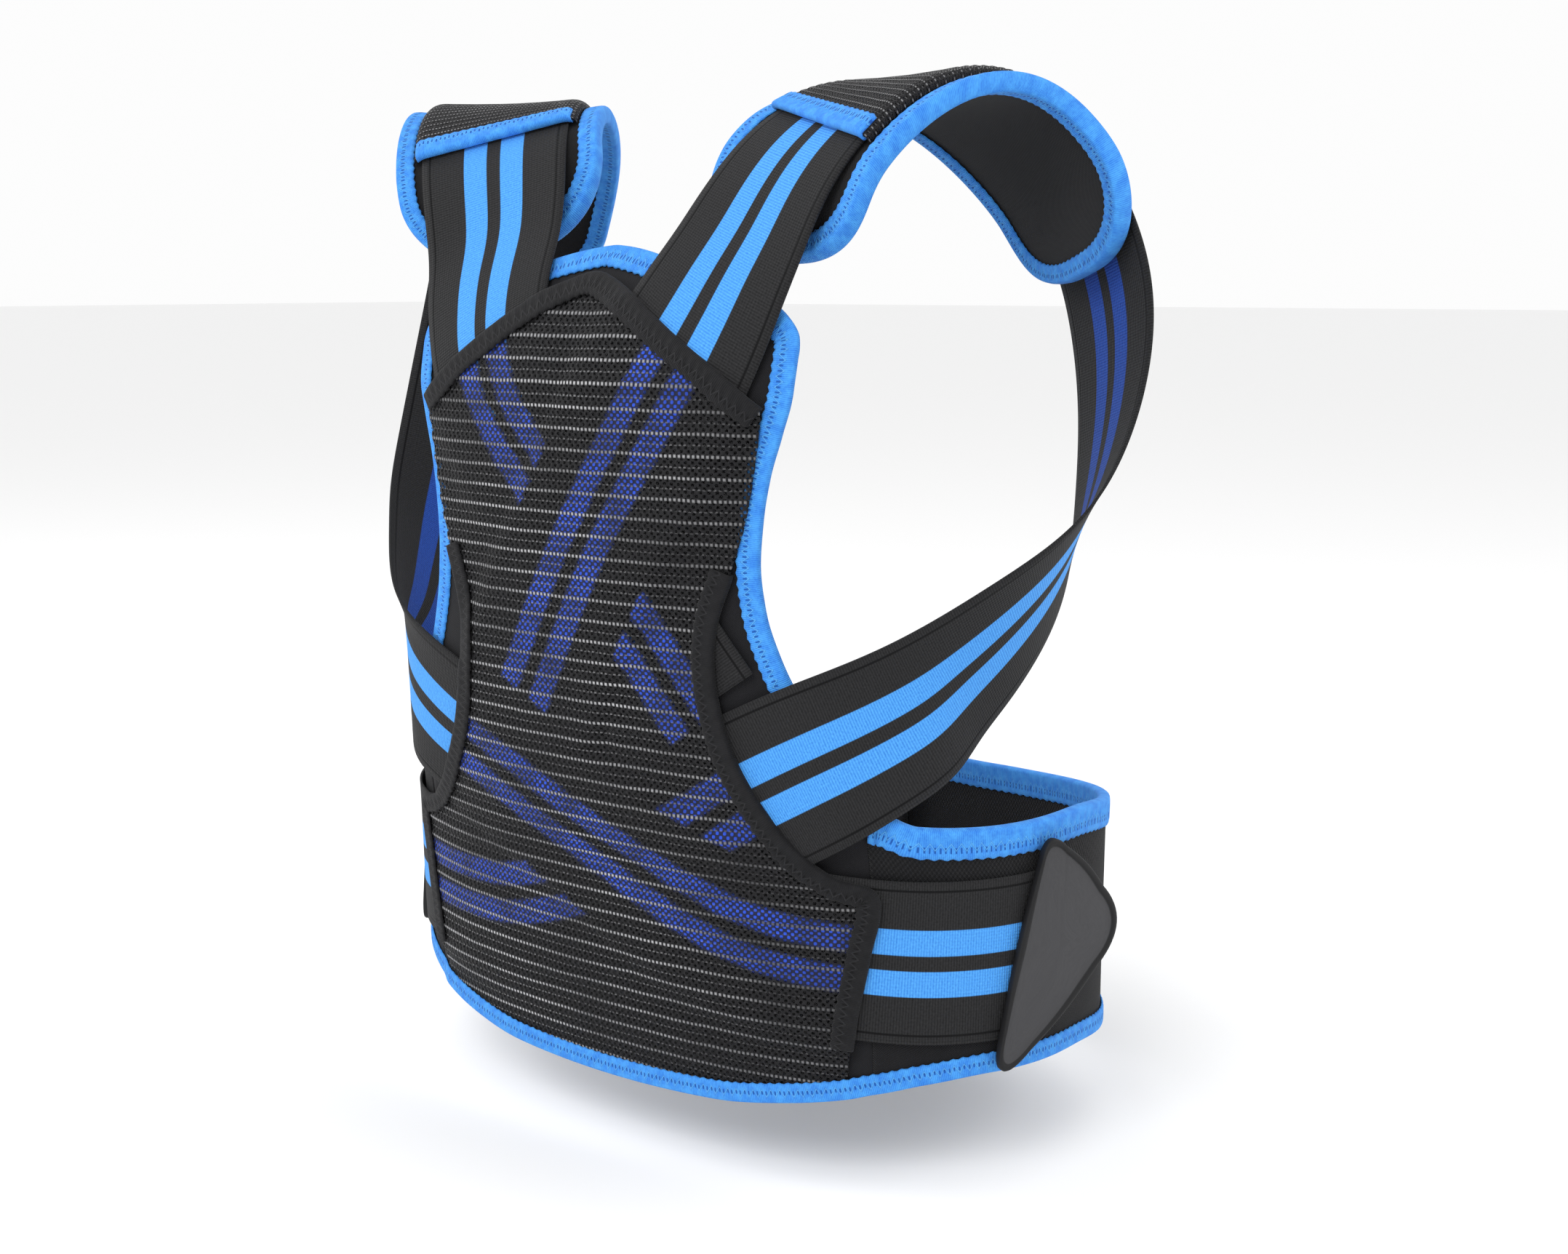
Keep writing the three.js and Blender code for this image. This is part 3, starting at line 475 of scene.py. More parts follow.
def surface_rows(route, side):
    """Rows of a strap where it lies on the torso."""
    line = even_line(route_points(route, side), 19)
    along = unit(np.gradient(line[:, :2], axis=0))
    across = np.stack([along[:, 1], -along[:, 0]], axis=-1) * side * ELASTIC_WIDTH / 2
    way = line[:, None, 0] + LANES[None] * across[:, None, 0]
    height = line[:, None, 1] + LANES[None] * across[:, None, 1]
    return torso_point(way, height, line[:, None, 2])


def loop_frame(side):
    """Middle points of a strap's arm loop and half its width as a vector."""
    flip = np.array([side, 1, 1])
    points = np.array([row[:3] for row in ARM_LOOP]) * flip * LOOP_REACH
    across = np.array([row[3] for row in ARM_LOOP]) * flip
    before = points[np.maximum(np.arange(len(points)) - 1, 0)]
    after = points[np.minimum(np.arange(len(points)) + 1, len(points) - 1)]
    along = unit(after - before)
    across = unit(across - along * np.sum(across * along, axis=-1, keepdims=True))
    return points, across * ELASTIC_WIDTH / 2


def loop_rows(side):
    points, across = loop_frame(side)
    return points[:, None] + LANES[None, :, None] * across[:, None]


def windows(rows, size):
    """The rows moved along the strap by up to the given number of rows either way."""
    padded = np.concatenate([np.repeat(rows[:1], size, 0), rows, np.repeat(rows[-1:], size, 0)])
    return [padded[start : start + len(rows)] for start in range(2 * size + 1)]


def averaged(rows, reach):
    """Rows averaged along the strap with a bell curve of the given reach."""
    size = int(3 * reach / STRAP_STEP)
    shares = np.exp(-0.5 * (np.arange(-size, size + 1) * STRAP_STEP / reach) ** 2)
    return sum(share * moved for share, moved in zip(shares / shares.sum(), windows(rows, size)))


def eased(rows, weight, reach):
    """Rows smoothed along the strap as far as their weight says."""
    return rows + (averaged(rows, reach) - rows) * weight[:, None, None]


def keep_off(points):
    """Lifts points near the back clear of the panel and its tapes."""
    x = np.abs(points[..., 0])
    y = np.abs(points[..., 1])
    z = points[..., 2]
    depth = depth_at(z / PANEL_HEIGHT) * TORSO_BACK_DEPTH
    power = TORSO_SQUARENESS
    reach = (x / TORSO_HALF_WIDTH) ** power + (y / depth) ** power
    slope = np.stack(
        [
            np.sign(points[..., 0]) * (x / TORSO_HALF_WIDTH) ** (power - 1) / TORSO_HALF_WIDTH,
            -((y / depth) ** (power - 1)) / depth,
            0 * x,
        ],
        axis=-1,
    )
    slope *= (np.maximum(reach, 1e-6) ** (1 / power - 1))[..., None]
    lift = (reach ** (1 / power) - 1) / np.linalg.norm(slope, axis=-1)
    from_side = panel_half(z / PANEL_HEIGHT) * PANEL_HALF_WIDTH - x
    tape_foot = PANEL_TAPE_START * PANEL_HEIGHT
    on_panel_tape = smooth_step(z, tape_foot - 14, tape_foot - 4) * (1 - smooth_step(from_side, 12, 24))
    on_side = np.maximum(smooth_step(x, 0.92 * SEAM_WAY, 0.97 * SEAM_WAY), on_panel_tape)
    on_top = smooth_step(z - top_edge(x), -26, -12)
    needed = np.maximum(
        STRAP_OVER_FOAM + (STRAP_OVER_TAPE - STRAP_OVER_FOAM) * on_side,
        STRAP_OVER_FOAM + (TOP_TAPE_LIFT - STRAP_OVER_FOAM) * on_top,
    )
    near = (1 - smooth_step(z, *KEEP_OFF_TOP)) * (1 - smooth_step(x, *KEEP_OFF_SIDE))
    near = near * (points[..., 1] < KEEP_OFF_DEPTH)
    missing = np.maximum(needed - lift, 0) * near
    missing = averaged(np.max(windows(missing, int(LIFT_EASE / STRAP_STEP)), axis=0), LIFT_EASE / 2)
    return points + unit(slope) * missing[..., None]


def strap_rows(name, side):
    """Rows of a strap's inner face and each row's station on the arm loop."""
    upper = surface_rows(UPPER_ROUTES[name], side)
    end = (-(STRAP_END_WAY * WAY_TO_FRONT) / PANEL_HALF_WIDTH, 0.2, STRAP_OVER_FOAM)
    lower = surface_rows(LOWER_ROUTES[name] + (end,), side)
    rows = np.concatenate([upper, loop_rows(side), lower])
    counts = span_counts(rows, STRAP_STEP)
    station = np.concatenate(
        [index + np.arange(count) / count for index, count in enumerate(counts)] + [[len(counts)]]
    )
    station -= len(upper)
    last = len(ARM_LOOP) - 1
    weight = smooth_step(station, -5, -1) * (1 - smooth_step(station, last + 2, last + 6))
    return keep_off(eased(spline(rows, counts), weight, STRAP_EASE)), station


# Mesh cover: it lies over the straps and dips between them
ROUTE_SAMPLES = [
    even_line(route_points(routes[name], side), 6)
    for routes in (UPPER_ROUTES, LOWER_ROUTES)
    for name, side in SIDES.items()
]


def stripe_under(way, height):
    """1 where a blue stripe of the uppermost strap lies under the mesh."""
    way, height = matched(way, height)
    flat = np.stack([way.ravel(), height.ravel()], axis=-1)
    stripe = np.zeros(len(flat))
    highest = np.zeros(len(flat))
    for samples in ROUTE_SAMPLES:
        tangent = unit(np.gradient(samples[:, :2], axis=0))
        offset = flat[:, None] - samples[None, :, :2]
        nearest = np.linalg.norm(offset, axis=-1).argmin(axis=1)
        offset = offset[np.arange(len(flat)), nearest]
        tangent = tangent[nearest]
        gap = np.abs(offset[:, 0] * tangent[:, 1] - offset[:, 1] * tangent[:, 0])
        beyond = np.abs(np.sum(offset * tangent, axis=-1)) > 6
        lift = np.where((gap < ELASTIC_WIDTH / 2) & ~beyond, samples[nearest, 2], 0)
        blue = smooth_step(gap, STRIPE_INNER - 0.8, STRIPE_INNER + 0.8)
        blue = blue * (1 - smooth_step(gap, STRIPE_OUTER - 0.8, STRIPE_OUTER + 0.8))
        stripe = np.where(lift > highest, blue, stripe)
        highest = np.maximum(highest, lift)
    return stripe.reshape(way.shape)


def mesh_lift(way, height):
    """Lift of the mesh: over the straps, dipping between them, low at its seams."""
    way, height = matched(way, height)
    flat = np.stack([way.ravel(), height.ravel()], axis=-1)
    free = np.full(len(flat), float(MESH_FREE_LIFT))
    for samples in ROUTE_SAMPLES:
        gap = np.linalg.norm(flat[:, None] - samples[None, :, :2], axis=-1)
        nearest = gap.argmin(axis=1)
        window = 1 - smooth_step(gap.min(axis=1), ELASTIC_WIDTH / 2 - 1, ELASTIC_WIDTH / 2 + MESH_DIP)
        top = samples[nearest, 2] + ELASTIC_THICKNESS + MESH_OVER_STRAP
        free = np.maximum(free, MESH_FREE_LIFT + (top - MESH_FREE_LIFT) * window)
    free = free.reshape(way.shape)
    share = height / PANEL_HEIGHT
    from_side = smooth_step(mesh_half(share) * PANEL_HALF_WIDTH - np.abs(way), 2, 26)
    sewn = smooth_step(share, 0.58, 0.7) * (1 - smooth_step(share, 0.72, 0.8)) * (1 - from_side)
    raised = free + (MESH_SIDE_LIFT - free) * sewn
    from_bottom = smooth_step(height - lower_edge(way), 8, 25)
    return MESH_FOOT_LIFT + (raised - MESH_FOOT_LIFT) * from_bottom


def mesh_point(height, half, share):
    """Way and height of a point of the mesh; share runs from edge to edge."""
    way = share * half * PANEL_HALF_WIDTH
    near_bottom = 1 - smooth_step(height, 0, 0.24)
    return way, height * PANEL_HEIGHT + near_bottom * lower_edge(way)


# Shoulder pads
class PadMap:
    """Places points by distance along a pad, sideways and rise over its top."""

    def __init__(self, name, side):
        rows, station = strap_rows(name, side)
        inside = (station >= PAD_SPAN[0]) & (station <= PAD_SPAN[1])
        fine = rows[inside][:, [0, -1]]
        self.middle = fine.mean(axis=1)
        self.along = unit(np.gradient(self.middle, axis=0))
        lateral = fine[:, 1] - fine[:, 0]
        lateral -= self.along * np.sum(lateral * self.along, axis=-1, keepdims=True)
        self.across = unit(lateral)
        self.out = unit(np.cross(self.across, self.along)) * side
        self.length = distance_along(self.middle)
        self.total = self.length[-1]

    def place(self, distance, sideways, rise):
        distance, sideways, rise = matched(distance, sideways, rise)
        limited = np.clip(distance, 0, self.total)

        def read(table):
            return np.stack([np.interp(limited, self.length, table[:, axis]) for axis in range(3)], axis=-1)

        droop = PAD_REAR_DROOP * (1 - smooth_step(limited, 0, PAD_REAR_EASE))
        tuck = PAD_FRONT_DROOP * smooth_step(limited, self.total - PAD_FRONT_EASE, self.total)
        height = rise - PAD_GAP - droop - tuck
        return (
            read(self.middle)
            + unit(read(self.along)) * (distance - limited)[..., None]
            + unit(read(self.across)) * sideways[..., None]
            + unit(read(self.out)) * height[..., None]
        )


def pad_rows(total):
    """Places along a pad with its half width there, round at both ends."""
    turns = np.linspace(0.12, math.pi / 2, 14)
    ends = PAD_END_LENGTH * (1 - np.cos(turns))
    halves = PAD_WIDTH / 2 * np.sin(turns) ** 0.75
    straight = np.linspace(PAD_END_LENGTH, total - PAD_END_LENGTH, 44)[1:-1]
    distance = np.concatenate([ends, straight, (total - ends)[::-1]])
    half = np.concatenate([halves, np.full(len(straight), PAD_WIDTH / 2), halves[::-1]])
    return distance, half


# Making objects
def add_object(name, data):
    item = bpy.data.objects.new(name, data)
    bpy.context.scene.collection.objects.link(item)
    return item


def mesh_object(name, vertices, faces, uvs, material):
    """A mesh from points and cloth coordinates in millimetres; uvs has a pair per corner of each face."""
    shifted = (np.asarray(vertices, float) - np.array(SHOULDERS)) / 1000
    mesh = bpy.data.meshes.new(name)
    mesh.from_pydata(shifted.tolist(), [], [list(map(int, face)) for face in faces])
    layer = mesh.uv_layers.new(name="cloth")
    layer.data.foreach_set("uv", np.concatenate([np.asarray(uv, float) for uv in uvs]).ravel() / 1000)
    mesh.materials.append(material)
    mesh.polygons.foreach_set("use_smooth", [True] * len(mesh.polygons))
    mesh.update()
    return add_object(name, mesh)


def face_out(item):
    """Turns all faces outwards."""
    shape = bmesh.new()
    shape.from_mesh(item.data)
    bmesh.ops.recalc_face_normals(shape, faces=shape.faces)
    if shape.calc_volume(signed=True) < 0:
        bmesh.ops.reverse_faces(shape, faces=shape.faces)
    shape.to_mesh(item.data)
    shape.free()


def closed_sheet(name, inner, outer, across, along, material, shaded_inside=None):
    """A cloth of two grids joined round the edge. across and along are the cloth's own coordinates."""
    rows, columns = outer.shape[:2]
    vertices = np.concatenate([inner.reshape(-1, 3), outer.reshape(-1, 3)])
    uv = np.stack(np.broadcast_arrays(across, along), axis=-1).reshape(-1, 2)
    uv = np.concatenate([uv, uv])
    index = np.arange(rows * columns).reshape(rows, columns)
    a, b = index[:-1, :-1].ravel(), index[:-1, 1:].ravel()
    c, d = index[1:, 1:].ravel(), index[1:, :-1].ravel()
    offset = rows * columns
    quads = [np.stack([a, d, c, b], axis=-1), np.stack([a, b, c, d], axis=-1) + offset]
    rims = [index[0], index[:, -1], index[-1, ::-1], index[::-1, 0]]
    for rim in rims:
        start, end = rim[:-1], rim[1:]
        quads.append(np.stack([start, end, end + offset, start + offset], axis=-1))
    faces = np.concatenate(quads)
    item = mesh_object(name, vertices, faces, [uv[faces.ravel()]], material)
    # shaded_inside: a second material for the inner faces, a copy dimmed as painted shade
    if shaded_inside:
        item.data.materials.append(shaded_inside)
        inside = np.zeros(len(faces), dtype=int)
        inside[: len(a)] = 1
        item.data.polygons.foreach_set("material_index", inside)
    face_out(item)
    return item


def ring_body(name, rings, around, along, closed, material, turned=False):
    """A body of equal rings; closed joins the last ring to the first, turned swaps the coordinates."""
    count, size = rings.shape[:2]
    index = np.arange(count * size).reshape(count, size)
    spans = count if closed else count - 1
    faces = []
    uvs = []
    total = along[-1] + (along[1] - along[0])
    for span in range(spans):
        after = (span + 1) % count
        ahead = along[after] if after > span else total
        one = index[span]
        two = index[after]
        one_next = np.roll(one, -1)
        two_next = np.roll(two, -1)
        faces.append(np.stack([one, one_next, two_next, two], axis=-1))
        u_next = np.roll(around, -1)
        pairs = [(around, along[span]), (u_next, along[span]), (u_next, ahead), (around, ahead)]
        uvs.append(np.stack([np.stack(np.broadcast_arrays(u, v), axis=-1) for u, v in pairs], axis=1))
    faces = list(np.concatenate(faces))
    uv = [np.concatenate(uvs).reshape(-1, 2)]
    if not closed:
        for ring, place in ((index[0][::-1], along[0]), (index[-1], along[-1])):
            faces.append(ring)
            uv.append(np.stack([around, np.full(size, place)], axis=-1))
    if turned:
        uv = [pair[:, ::-1] for pair in uv]
    item = mesh_object(name, rings.reshape(-1, 3), faces, uv, material)
    face_out(item)
    return item


# share of a tape's width and height of its face there in walls
TAPE_FLANGE = ((1.0, 0.15), (0.94, 0.85), (0.8, 1.12), (0.62, 1.02), (0.45, 1.0), (0.28, 1.08), (0.1, 1.18))


def tape_rings(place, thickness, width, along, pitch=TAPE_PITCH):
    """Rings of a folded tape. place(inset, rise) gives the points of all stations at once."""
    top = thickness + TAPE_SLACK
    bottom = -TAPE_SLACK
    middle = (top + bottom) / 2
    half = (top - bottom) / 2 + TAPE_WALL
    round_edge = float(np.mean(half))
    wave = TAPE_PUCKER * np.cos(2 * math.pi * along / pitch)
    scallop = -1.4 * wave
    points = []
    around = []

    def add_flange(rows, level, outward):
        for share, puff in rows:
            waved = wave * math.sin(math.pi * min(share, 0.9) / 0.9)
            inset = width * share + scallop * (share > 0.9)
            points.append(place(inset, level + outward * (TAPE_WALL * puff + waved)))
            around.append(-outward * (width * share + round_edge))

    add_flange(TAPE_FLANGE, top, 1)
    fold = 1.6 * TAPE_WALL
    for turn in np.linspace(0, math.pi, 9):
        points.append(place(-fold * math.sin(turn), middle + (half + 0.12) * math.cos(turn)))
        around.append(round_edge * (2 * turn / math.pi - 1))
    add_flange(TAPE_FLANGE[::-1], bottom, -1)
    for inset, rise in ((width * 0.97, bottom), (0, bottom), (-0.5, middle), (0, top), (width * 0.97, top)):
        points.append(place(inset, rise + 0 * along))
        around.append(0)
    return np.stack(points, axis=1), np.array(around, float)


def map_tape(
    node, slot, points, inward_sign, lift_at, thickness_at, material, width=TAPE_WIDTH, pitch=TAPE_PITCH
):
    """A tape folded over a line of the torso map; lift_at and thickness_at tell what it holds."""
    line = even_line(np.asarray(points, float), TAPE_STEP)
    direction = unit(np.gradient(line, axis=0))
    inward = np.stack([-direction[:, 1], direction[:, 0]], axis=-1) * inward_sign
    along = distance_along(line)
    thickness = thickness_at(line[:, 0], line[:, 1]) + 0 * along

    def place(inset, rise):
        cloth = np.maximum(inset, 0)
        lift = lift_at(line[:, 0] + inward[:, 0] * cloth, line[:, 1] + inward[:, 1] * cloth)
        return torso_point(line[:, 0] + inward[:, 0] * inset, line[:, 1] + inward[:, 1] * inset, lift + rise)

    rings, around = tape_rings(place, thickness, width, along, pitch)
    settle(ring_body(f"{node}_woven", rings, around, along, False, material), node)


# Materials
class Graph:
    """Short way to build a material's nodes."""

    def __init__(self, name):
        self.material = bpy.data.materials.new(name)
        self.material.use_nodes = True
        self.tree = self.material.node_tree
        self.tree.nodes.clear()
        self.output = self.tree.nodes.new("ShaderNodeOutputMaterial")
        self.shader = self.tree.nodes.new("ShaderNodeBsdfPrincipled")
        self.link(self.shader.outputs[0], self.output.inputs[0])
        uv = self.tree.nodes.new("ShaderNodeUVMap")
        uv.uv_map = "cloth"
        split = self.tree.nodes.new("ShaderNodeSeparateXYZ")
        self.link(uv.outputs[0], split.inputs[0])
        self.uv = uv.outputs[0]
        self.u = split.outputs[0]
        self.v = split.outputs[1]

    def link(self, source, target):
        self.tree.links.new(source, target)

    def math(self, operation, first, second=0.0, third=None):
        node = self.tree.nodes.new("ShaderNodeMath")
        node.operation = operation
        values = (first, second) if third is None else (first, second, third)
        for socket, value in zip(node.inputs, values):
            if hasattr(value, "is_linked"):
                self.link(value, socket)
            else:
                socket.default_value = value
        return node.outputs[0]

    def times(self, first, second):
        return self.math("MULTIPLY", first, second)

    def times_add(self, first, second, third):
        return self.math("MULTIPLY_ADD", first, second, third)

    def band(self, value, low, high, soft):
        """1 where value is between low and high, with soft edges."""
        rise = self.step(value, low - soft, low + soft)
        fall = self.step(value, high - soft, high + soft)
        return self.math("SUBTRACT", rise, fall)

    def step(self, value, low, high):
        node = self.tree.nodes.new("ShaderNodeMapRange")
        node.interpolation_type = "SMOOTHSTEP"
        self.link(value, node.inputs["Value"])
        node.inputs["From Min"].default_value = low
        node.inputs["From Max"].default_value = high
        return node.outputs["Result"]

    def wave(self, value, pitch, phase=0.0):
        """Cosine of a length with the given pitch, from -1 to 1."""
        turned = self.times_add(value, 2 * math.pi / pitch, phase)
        return self.math("COSINE", turned)

    def noise(self, scale, detail=2.0):
        node = self.tree.nodes.new("ShaderNodeTexNoise")
        node.inputs["Scale"].default_value = scale
        node.inputs["Detail"].default_value = detail
        self.link(self.uv, node.inputs["Vector"])
        return node.outputs["Fac"]

    def mix(self, factor, first, second):
        node = self.tree.nodes.new("ShaderNodeMix")
        node.data_type = "RGBA"
        self.link(factor, node.inputs["Factor"])
        colours = [socket for socket in node.inputs if socket.type == "RGBA"]
        for socket, value in zip(colours, (first, second)):
            if hasattr(value, "is_linked"):
                self.link(value, socket)
            else:
                socket.default_value = (*value, 1)
        return [socket for socket in node.outputs if socket.type == "RGBA"][0]

    def bump(self, height, distance, strength=1.0):
        node = self.tree.nodes.new("ShaderNodeBump")
        node.inputs["Distance"].default_value = distance
        node.inputs["Strength"].default_value = strength
        self.link(height, node.inputs["Height"])
        self.link(node.outputs[0], self.shader.inputs["Normal"])

    def finish(self, colour, roughness=0.85, sheen=0.0, specular=0.15):
        if hasattr(colour, "is_linked"):
            self.link(colour, self.shader.inputs["Base Color"])
        else:
            self.shader.inputs["Base Color"].default_value = (*colour, 1)
        self.shader.inputs["Roughness"].default_value = roughness
        self.shader.inputs["Sheen Weight"].default_value = sheen
        self.shader.inputs["Sheen Roughness"].default_value = 0.5
        self.shader.inputs["Specular IOR Level"].default_value = specular
        return self.material


BLACK = (0.006, 0.006, 0.007)
SOFT_BLACK = (0.009, 0.009, 0.0105)
BLUE = (0.075, 0.36, 0.84)
BLUE_LIGHT = (0.12, 0.44, 0.9)
BLUE_DEEP = (0.02, 0.15, 0.62)
NET_BLUE = (0.032, 0.1, 0.72)


def woven(graph, pitch):
    """Plain weave: a small hill at every crossing."""
    one = graph.wave(graph.u, pitch)
    two = graph.wave(graph.v, pitch)
    return graph.times(one, two)


def cloth_material(name, colour, pitch=0.0011, sheen=0.05, mottle=0.35):
    graph = Graph(name)
    weave = woven(graph, pitch)
    cloud = graph.noise(60, 3)
    light = tuple(value * 2 + 0.003 for value in colour)
    shade = graph.times_add(weave, 0.12, graph.times(cloud, mottle))
    graph.bump(graph.times_add(weave, 0.5, graph.times(cloud, 0.6)), 0.00022, 0.7)
    return graph.finish(graph.mix(shade, colour, light), 0.85, sheen)


def wing_material(name):
    """Black cloth with a band of brushed loops under the upper edge."""
    graph = Graph(name)
    weave = woven(graph, 0.0012)
    loops = graph.times(graph.wave(graph.u, 0.0021), graph.wave(graph.v, 0.0033))
    pile = graph.band(graph.v, 0.010, 0.030, 0.001)
    raised = graph.times(loops, pile)
    relief = graph.times_add(raised, 1.6, weave)
    graph.bump(relief, 0.0003, 0.7)
    cloud = graph.noise(70, 3)
    shade = graph.times_add(raised, 0.5, graph.times(cloud, 0.5))
    return graph.finish(graph.mix(shade, BLACK, (0.02, 0.02, 0.022)), 0.85, 0.05)


def elastic_material(name, blue_low, blue_high):
    """Woven elastic with two blue stripes and a dark line near each edge."""
    graph = Graph(name)
    across = graph.math("ABSOLUTE", graph.u)
    stripe = graph.band(across, STRIPE_INNER / 1000, STRIPE_OUTER / 1000, 0.0003)
    line = graph.band(across, EDGE_LINE[0] / 1000, EDGE_LINE[1] / 1000, 0.0003)
    ribs = graph.wave(graph.v, RIB_PITCH / 1000)
    cords = graph.wave(graph.u, CORD_PITCH / 1000)
    grain = graph.noise(900, 2)
    relief = graph.times_add(ribs, 0.5, graph.times(cords, 0.35))
    relief = graph.math("SUBTRACT", relief, graph.times(line, 1.5))
    graph.bump(graph.times_add(grain, 0.9, relief), 0.0002, 0.8)
    shade = graph.times_add(ribs, 0.18, graph.times(grain, 0.8))
    dark = graph.mix(shade, (0.006, 0.006, 0.0065), (0.034, 0.034, 0.036))
    mixed = graph.mix(stripe, dark, graph.mix(shade, blue_low, blue_high))
    return graph.finish(graph.mix(line, mixed, (0.002, 0.002, 0.0025)), 0.8, 0.04)


def tape_material(name, colours, width):
    """Woven tape with a zigzag seam along each flange."""
    graph = Graph(name)
    base, light, deep = colours
    pitch = TAPE_PITCH / 1000
    zigzag = graph.math("PINGPONG", graph.v, pitch / 2)
    swing = graph.times_add(zigzag, 1.5, width / 2000 + 0.0012)
    gap = graph.math("ABSOLUTE", graph.math("SUBTRACT", graph.math("ABSOLUTE", graph.u), swing))
    thread = graph.math("SUBTRACT", 1.0, graph.step(gap, 0.0003, 0.0006))
    ribs = graph.wave(graph.v, 0.00085)
    grain = graph.noise(800, 2)
    cloud = graph.step(graph.noise(180, 3), 0.3, 0.7)
    mottle = graph.times_add(cloud, 0.45, graph.times(grain, 0.7))
    shade = graph.times_add(ribs, 0.2, mottle)
    colour = graph.mix(shade, deep, base)
    relief = graph.times_add(thread, 1.6, graph.times(ribs, 0.25))
    edge_zone = graph.band(graph.math("ABSOLUTE", graph.u), width * 0.00074, width * 0.00096, 0.0003)
    graph.bump(graph.times_add(grain, 0.5, relief), 0.0003, 0.9)
    pit = graph.times(graph.step(graph.wave(graph.v, pitch / 2), 0.2, 0.8), edge_zone)
    colour = graph.mix(pit, colour, tuple(value * 0.6 for value in deep))
    return graph.finish(graph.mix(graph.times(thread, 0.6), colour, light), 0.75, 0.05)


def net_material(name, row_pitch, hole_pitch=NET_HOLE_PITCH / 1000, openness=0.8, highlight_grey=0.5):
    """Spacer mesh: staggered oval holes, dotted rows of painted highlight on the rib crests, blue where a
    stripe lies under it.
    """
    graph = Graph(name)
    columns = graph.wave(graph.u, hole_pitch)
    lines = graph.wave(graph.v, row_pitch / 3)
    hole = graph.step(graph.times(columns, lines), 0.1, 0.4)
    # painted highlight: dots on the rib crests every row_pitch, weaker rows halfway between, broken into
    # dashes, dimmed in clouds and for u over 0.1 m
    waved = graph.times_add(graph.noise(45, 2), 0.0011, graph.v)
    row = graph.step(graph.wave(waved, row_pitch), 0.82, 0.95)
    dash = graph.step(graph.wave(graph.u, hole_pitch * 0.65), -0.5, 0.3)
    cloud = graph.step(graph.noise(14, 2), 0.3, 0.7)
    side = graph.times_add(graph.step(graph.u, 0.03, 0.1), -0.6, 1.0)
    fade = graph.times(graph.times_add(cloud, 0.75, 0.25), side)
    between = graph.step(graph.wave(waved, row_pitch / 2), 0.84, 0.96)
    rows = graph.times_add(row, 0.68, graph.times(between, 0.32))
    highlight_dots = graph.times(graph.times(rows, dash), fade)
    open_part = graph.times(hole, graph.math("SUBTRACT", 1.0, row))
    under = graph.tree.nodes.new("ShaderNodeAttribute")
    under.attribute_name = "stripe"
    stripe = under.outputs["Fac"]
    thread = graph.noise(700, 2)
    dark = graph.mix(thread, (0.003, 0.003, 0.0035), (0.02, 0.02, 0.022))
    # random patches of painted shade dim the blue that shows through the holes
    stripe_shade_patches = graph.times_add(graph.step(graph.noise(55, 3), 0.3, 0.7), 0.65, 0.35)
    seen = graph.times(stripe, stripe_shade_patches)
    showing = graph.times(seen, graph.times_add(open_part, 0.9, 0.06))
    tinted = graph.mix(showing, dark, NET_BLUE)
    # the painted highlight mixes the colour towards highlight_grey
    colour = graph.mix(highlight_dots, tinted, (highlight_grey, highlight_grey, highlight_grey * 1.03))
    relief = graph.times_add(highlight_dots, 1.0, graph.times(columns, 0.4))
    graph.bump(relief, 0.0004, 0.9)
    material = graph.finish(colour, 0.7, 0.03)
    clear = graph.tree.nodes.new("ShaderNodeBsdfTransparent")
    blend = graph.tree.nodes.new("ShaderNodeMixShader")
    through = graph.times(open_part, graph.times_add(stripe, -0.8 * openness, openness))
    graph.link(through, blend.inputs[0])
    graph.link(graph.shader.outputs[0], blend.inputs[1])
    graph.link(clear.outputs[0], blend.inputs[2])
    graph.link(blend.outputs[0], graph.output.inputs[0])
    return material


def tab_material(name):
    """Moulded grip: grey face in a black rim."""
    graph = Graph(name)
    inside = graph.step(graph.u, (TAB_RIM_WIDTH - 0.1) / 1000, (TAB_RIM_WIDTH + 0.7) / 1000)
    rim = graph.math("SUBTRACT", 1.0, inside)
    grain = graph.noise(500, 3)
    cloud = graph.noise(40, 2)
    graph.bump(grain, 0.00012, 0.8)
    shade = graph.times_add(grain, 0.5, graph.times(cloud, 0.4))
    face = graph.mix(shade, (0.032, 0.032, 0.035), (0.06, 0.06, 0.064))
    return graph.finish(graph.mix(rim, face, (0.006, 0.006, 0.007)), 0.6, 0.0, 0.3)


BLUE_TAPE = tape_material("blue_tape", (BLUE, BLUE_LIGHT, BLUE_DEEP), TAPE_WIDTH)
BELT_TAPE = tape_material("belt_blue_tape", (BLUE, BLUE_LIGHT, BLUE_DEEP), BELT_TAPE_WIDTH)
BLACK_TAPE = tape_material("black_tape", ((0.013, 0.013, 0.0145), (0.026, 0.026, 0.029), BLACK), TAPE_WIDTH)
FOAM_CLOTH = cloth_material("foam_cloth", SOFT_BLACK)
PAD_CLOTH = cloth_material("pad_cloth", (0.008, 0.008, 0.009), 0.0009, 0.08, 0.25)
WING_CLOTH = wing_material("wing_cloth")
ELASTIC = elastic_material("striped_elastic_cloth", (0.03, 0.19, 0.62), (0.12, 0.47, 0.96))
# The strap's inner face: the same elastic with darker blues, as painted shade
ELASTIC_SHADED_BACK = elastic_material("striped_elastic_back_painted_shade", (0.006, 0.03, 0.2), (0.03, 0.11, 0.5))
# The cover and sleeve nets paint highlight dots on their rib crests: grey 0.5 on the cover, 0.3 on the
# sleeves
NET = net_material("cover_net", NET_ROW_PITCH / 1000)
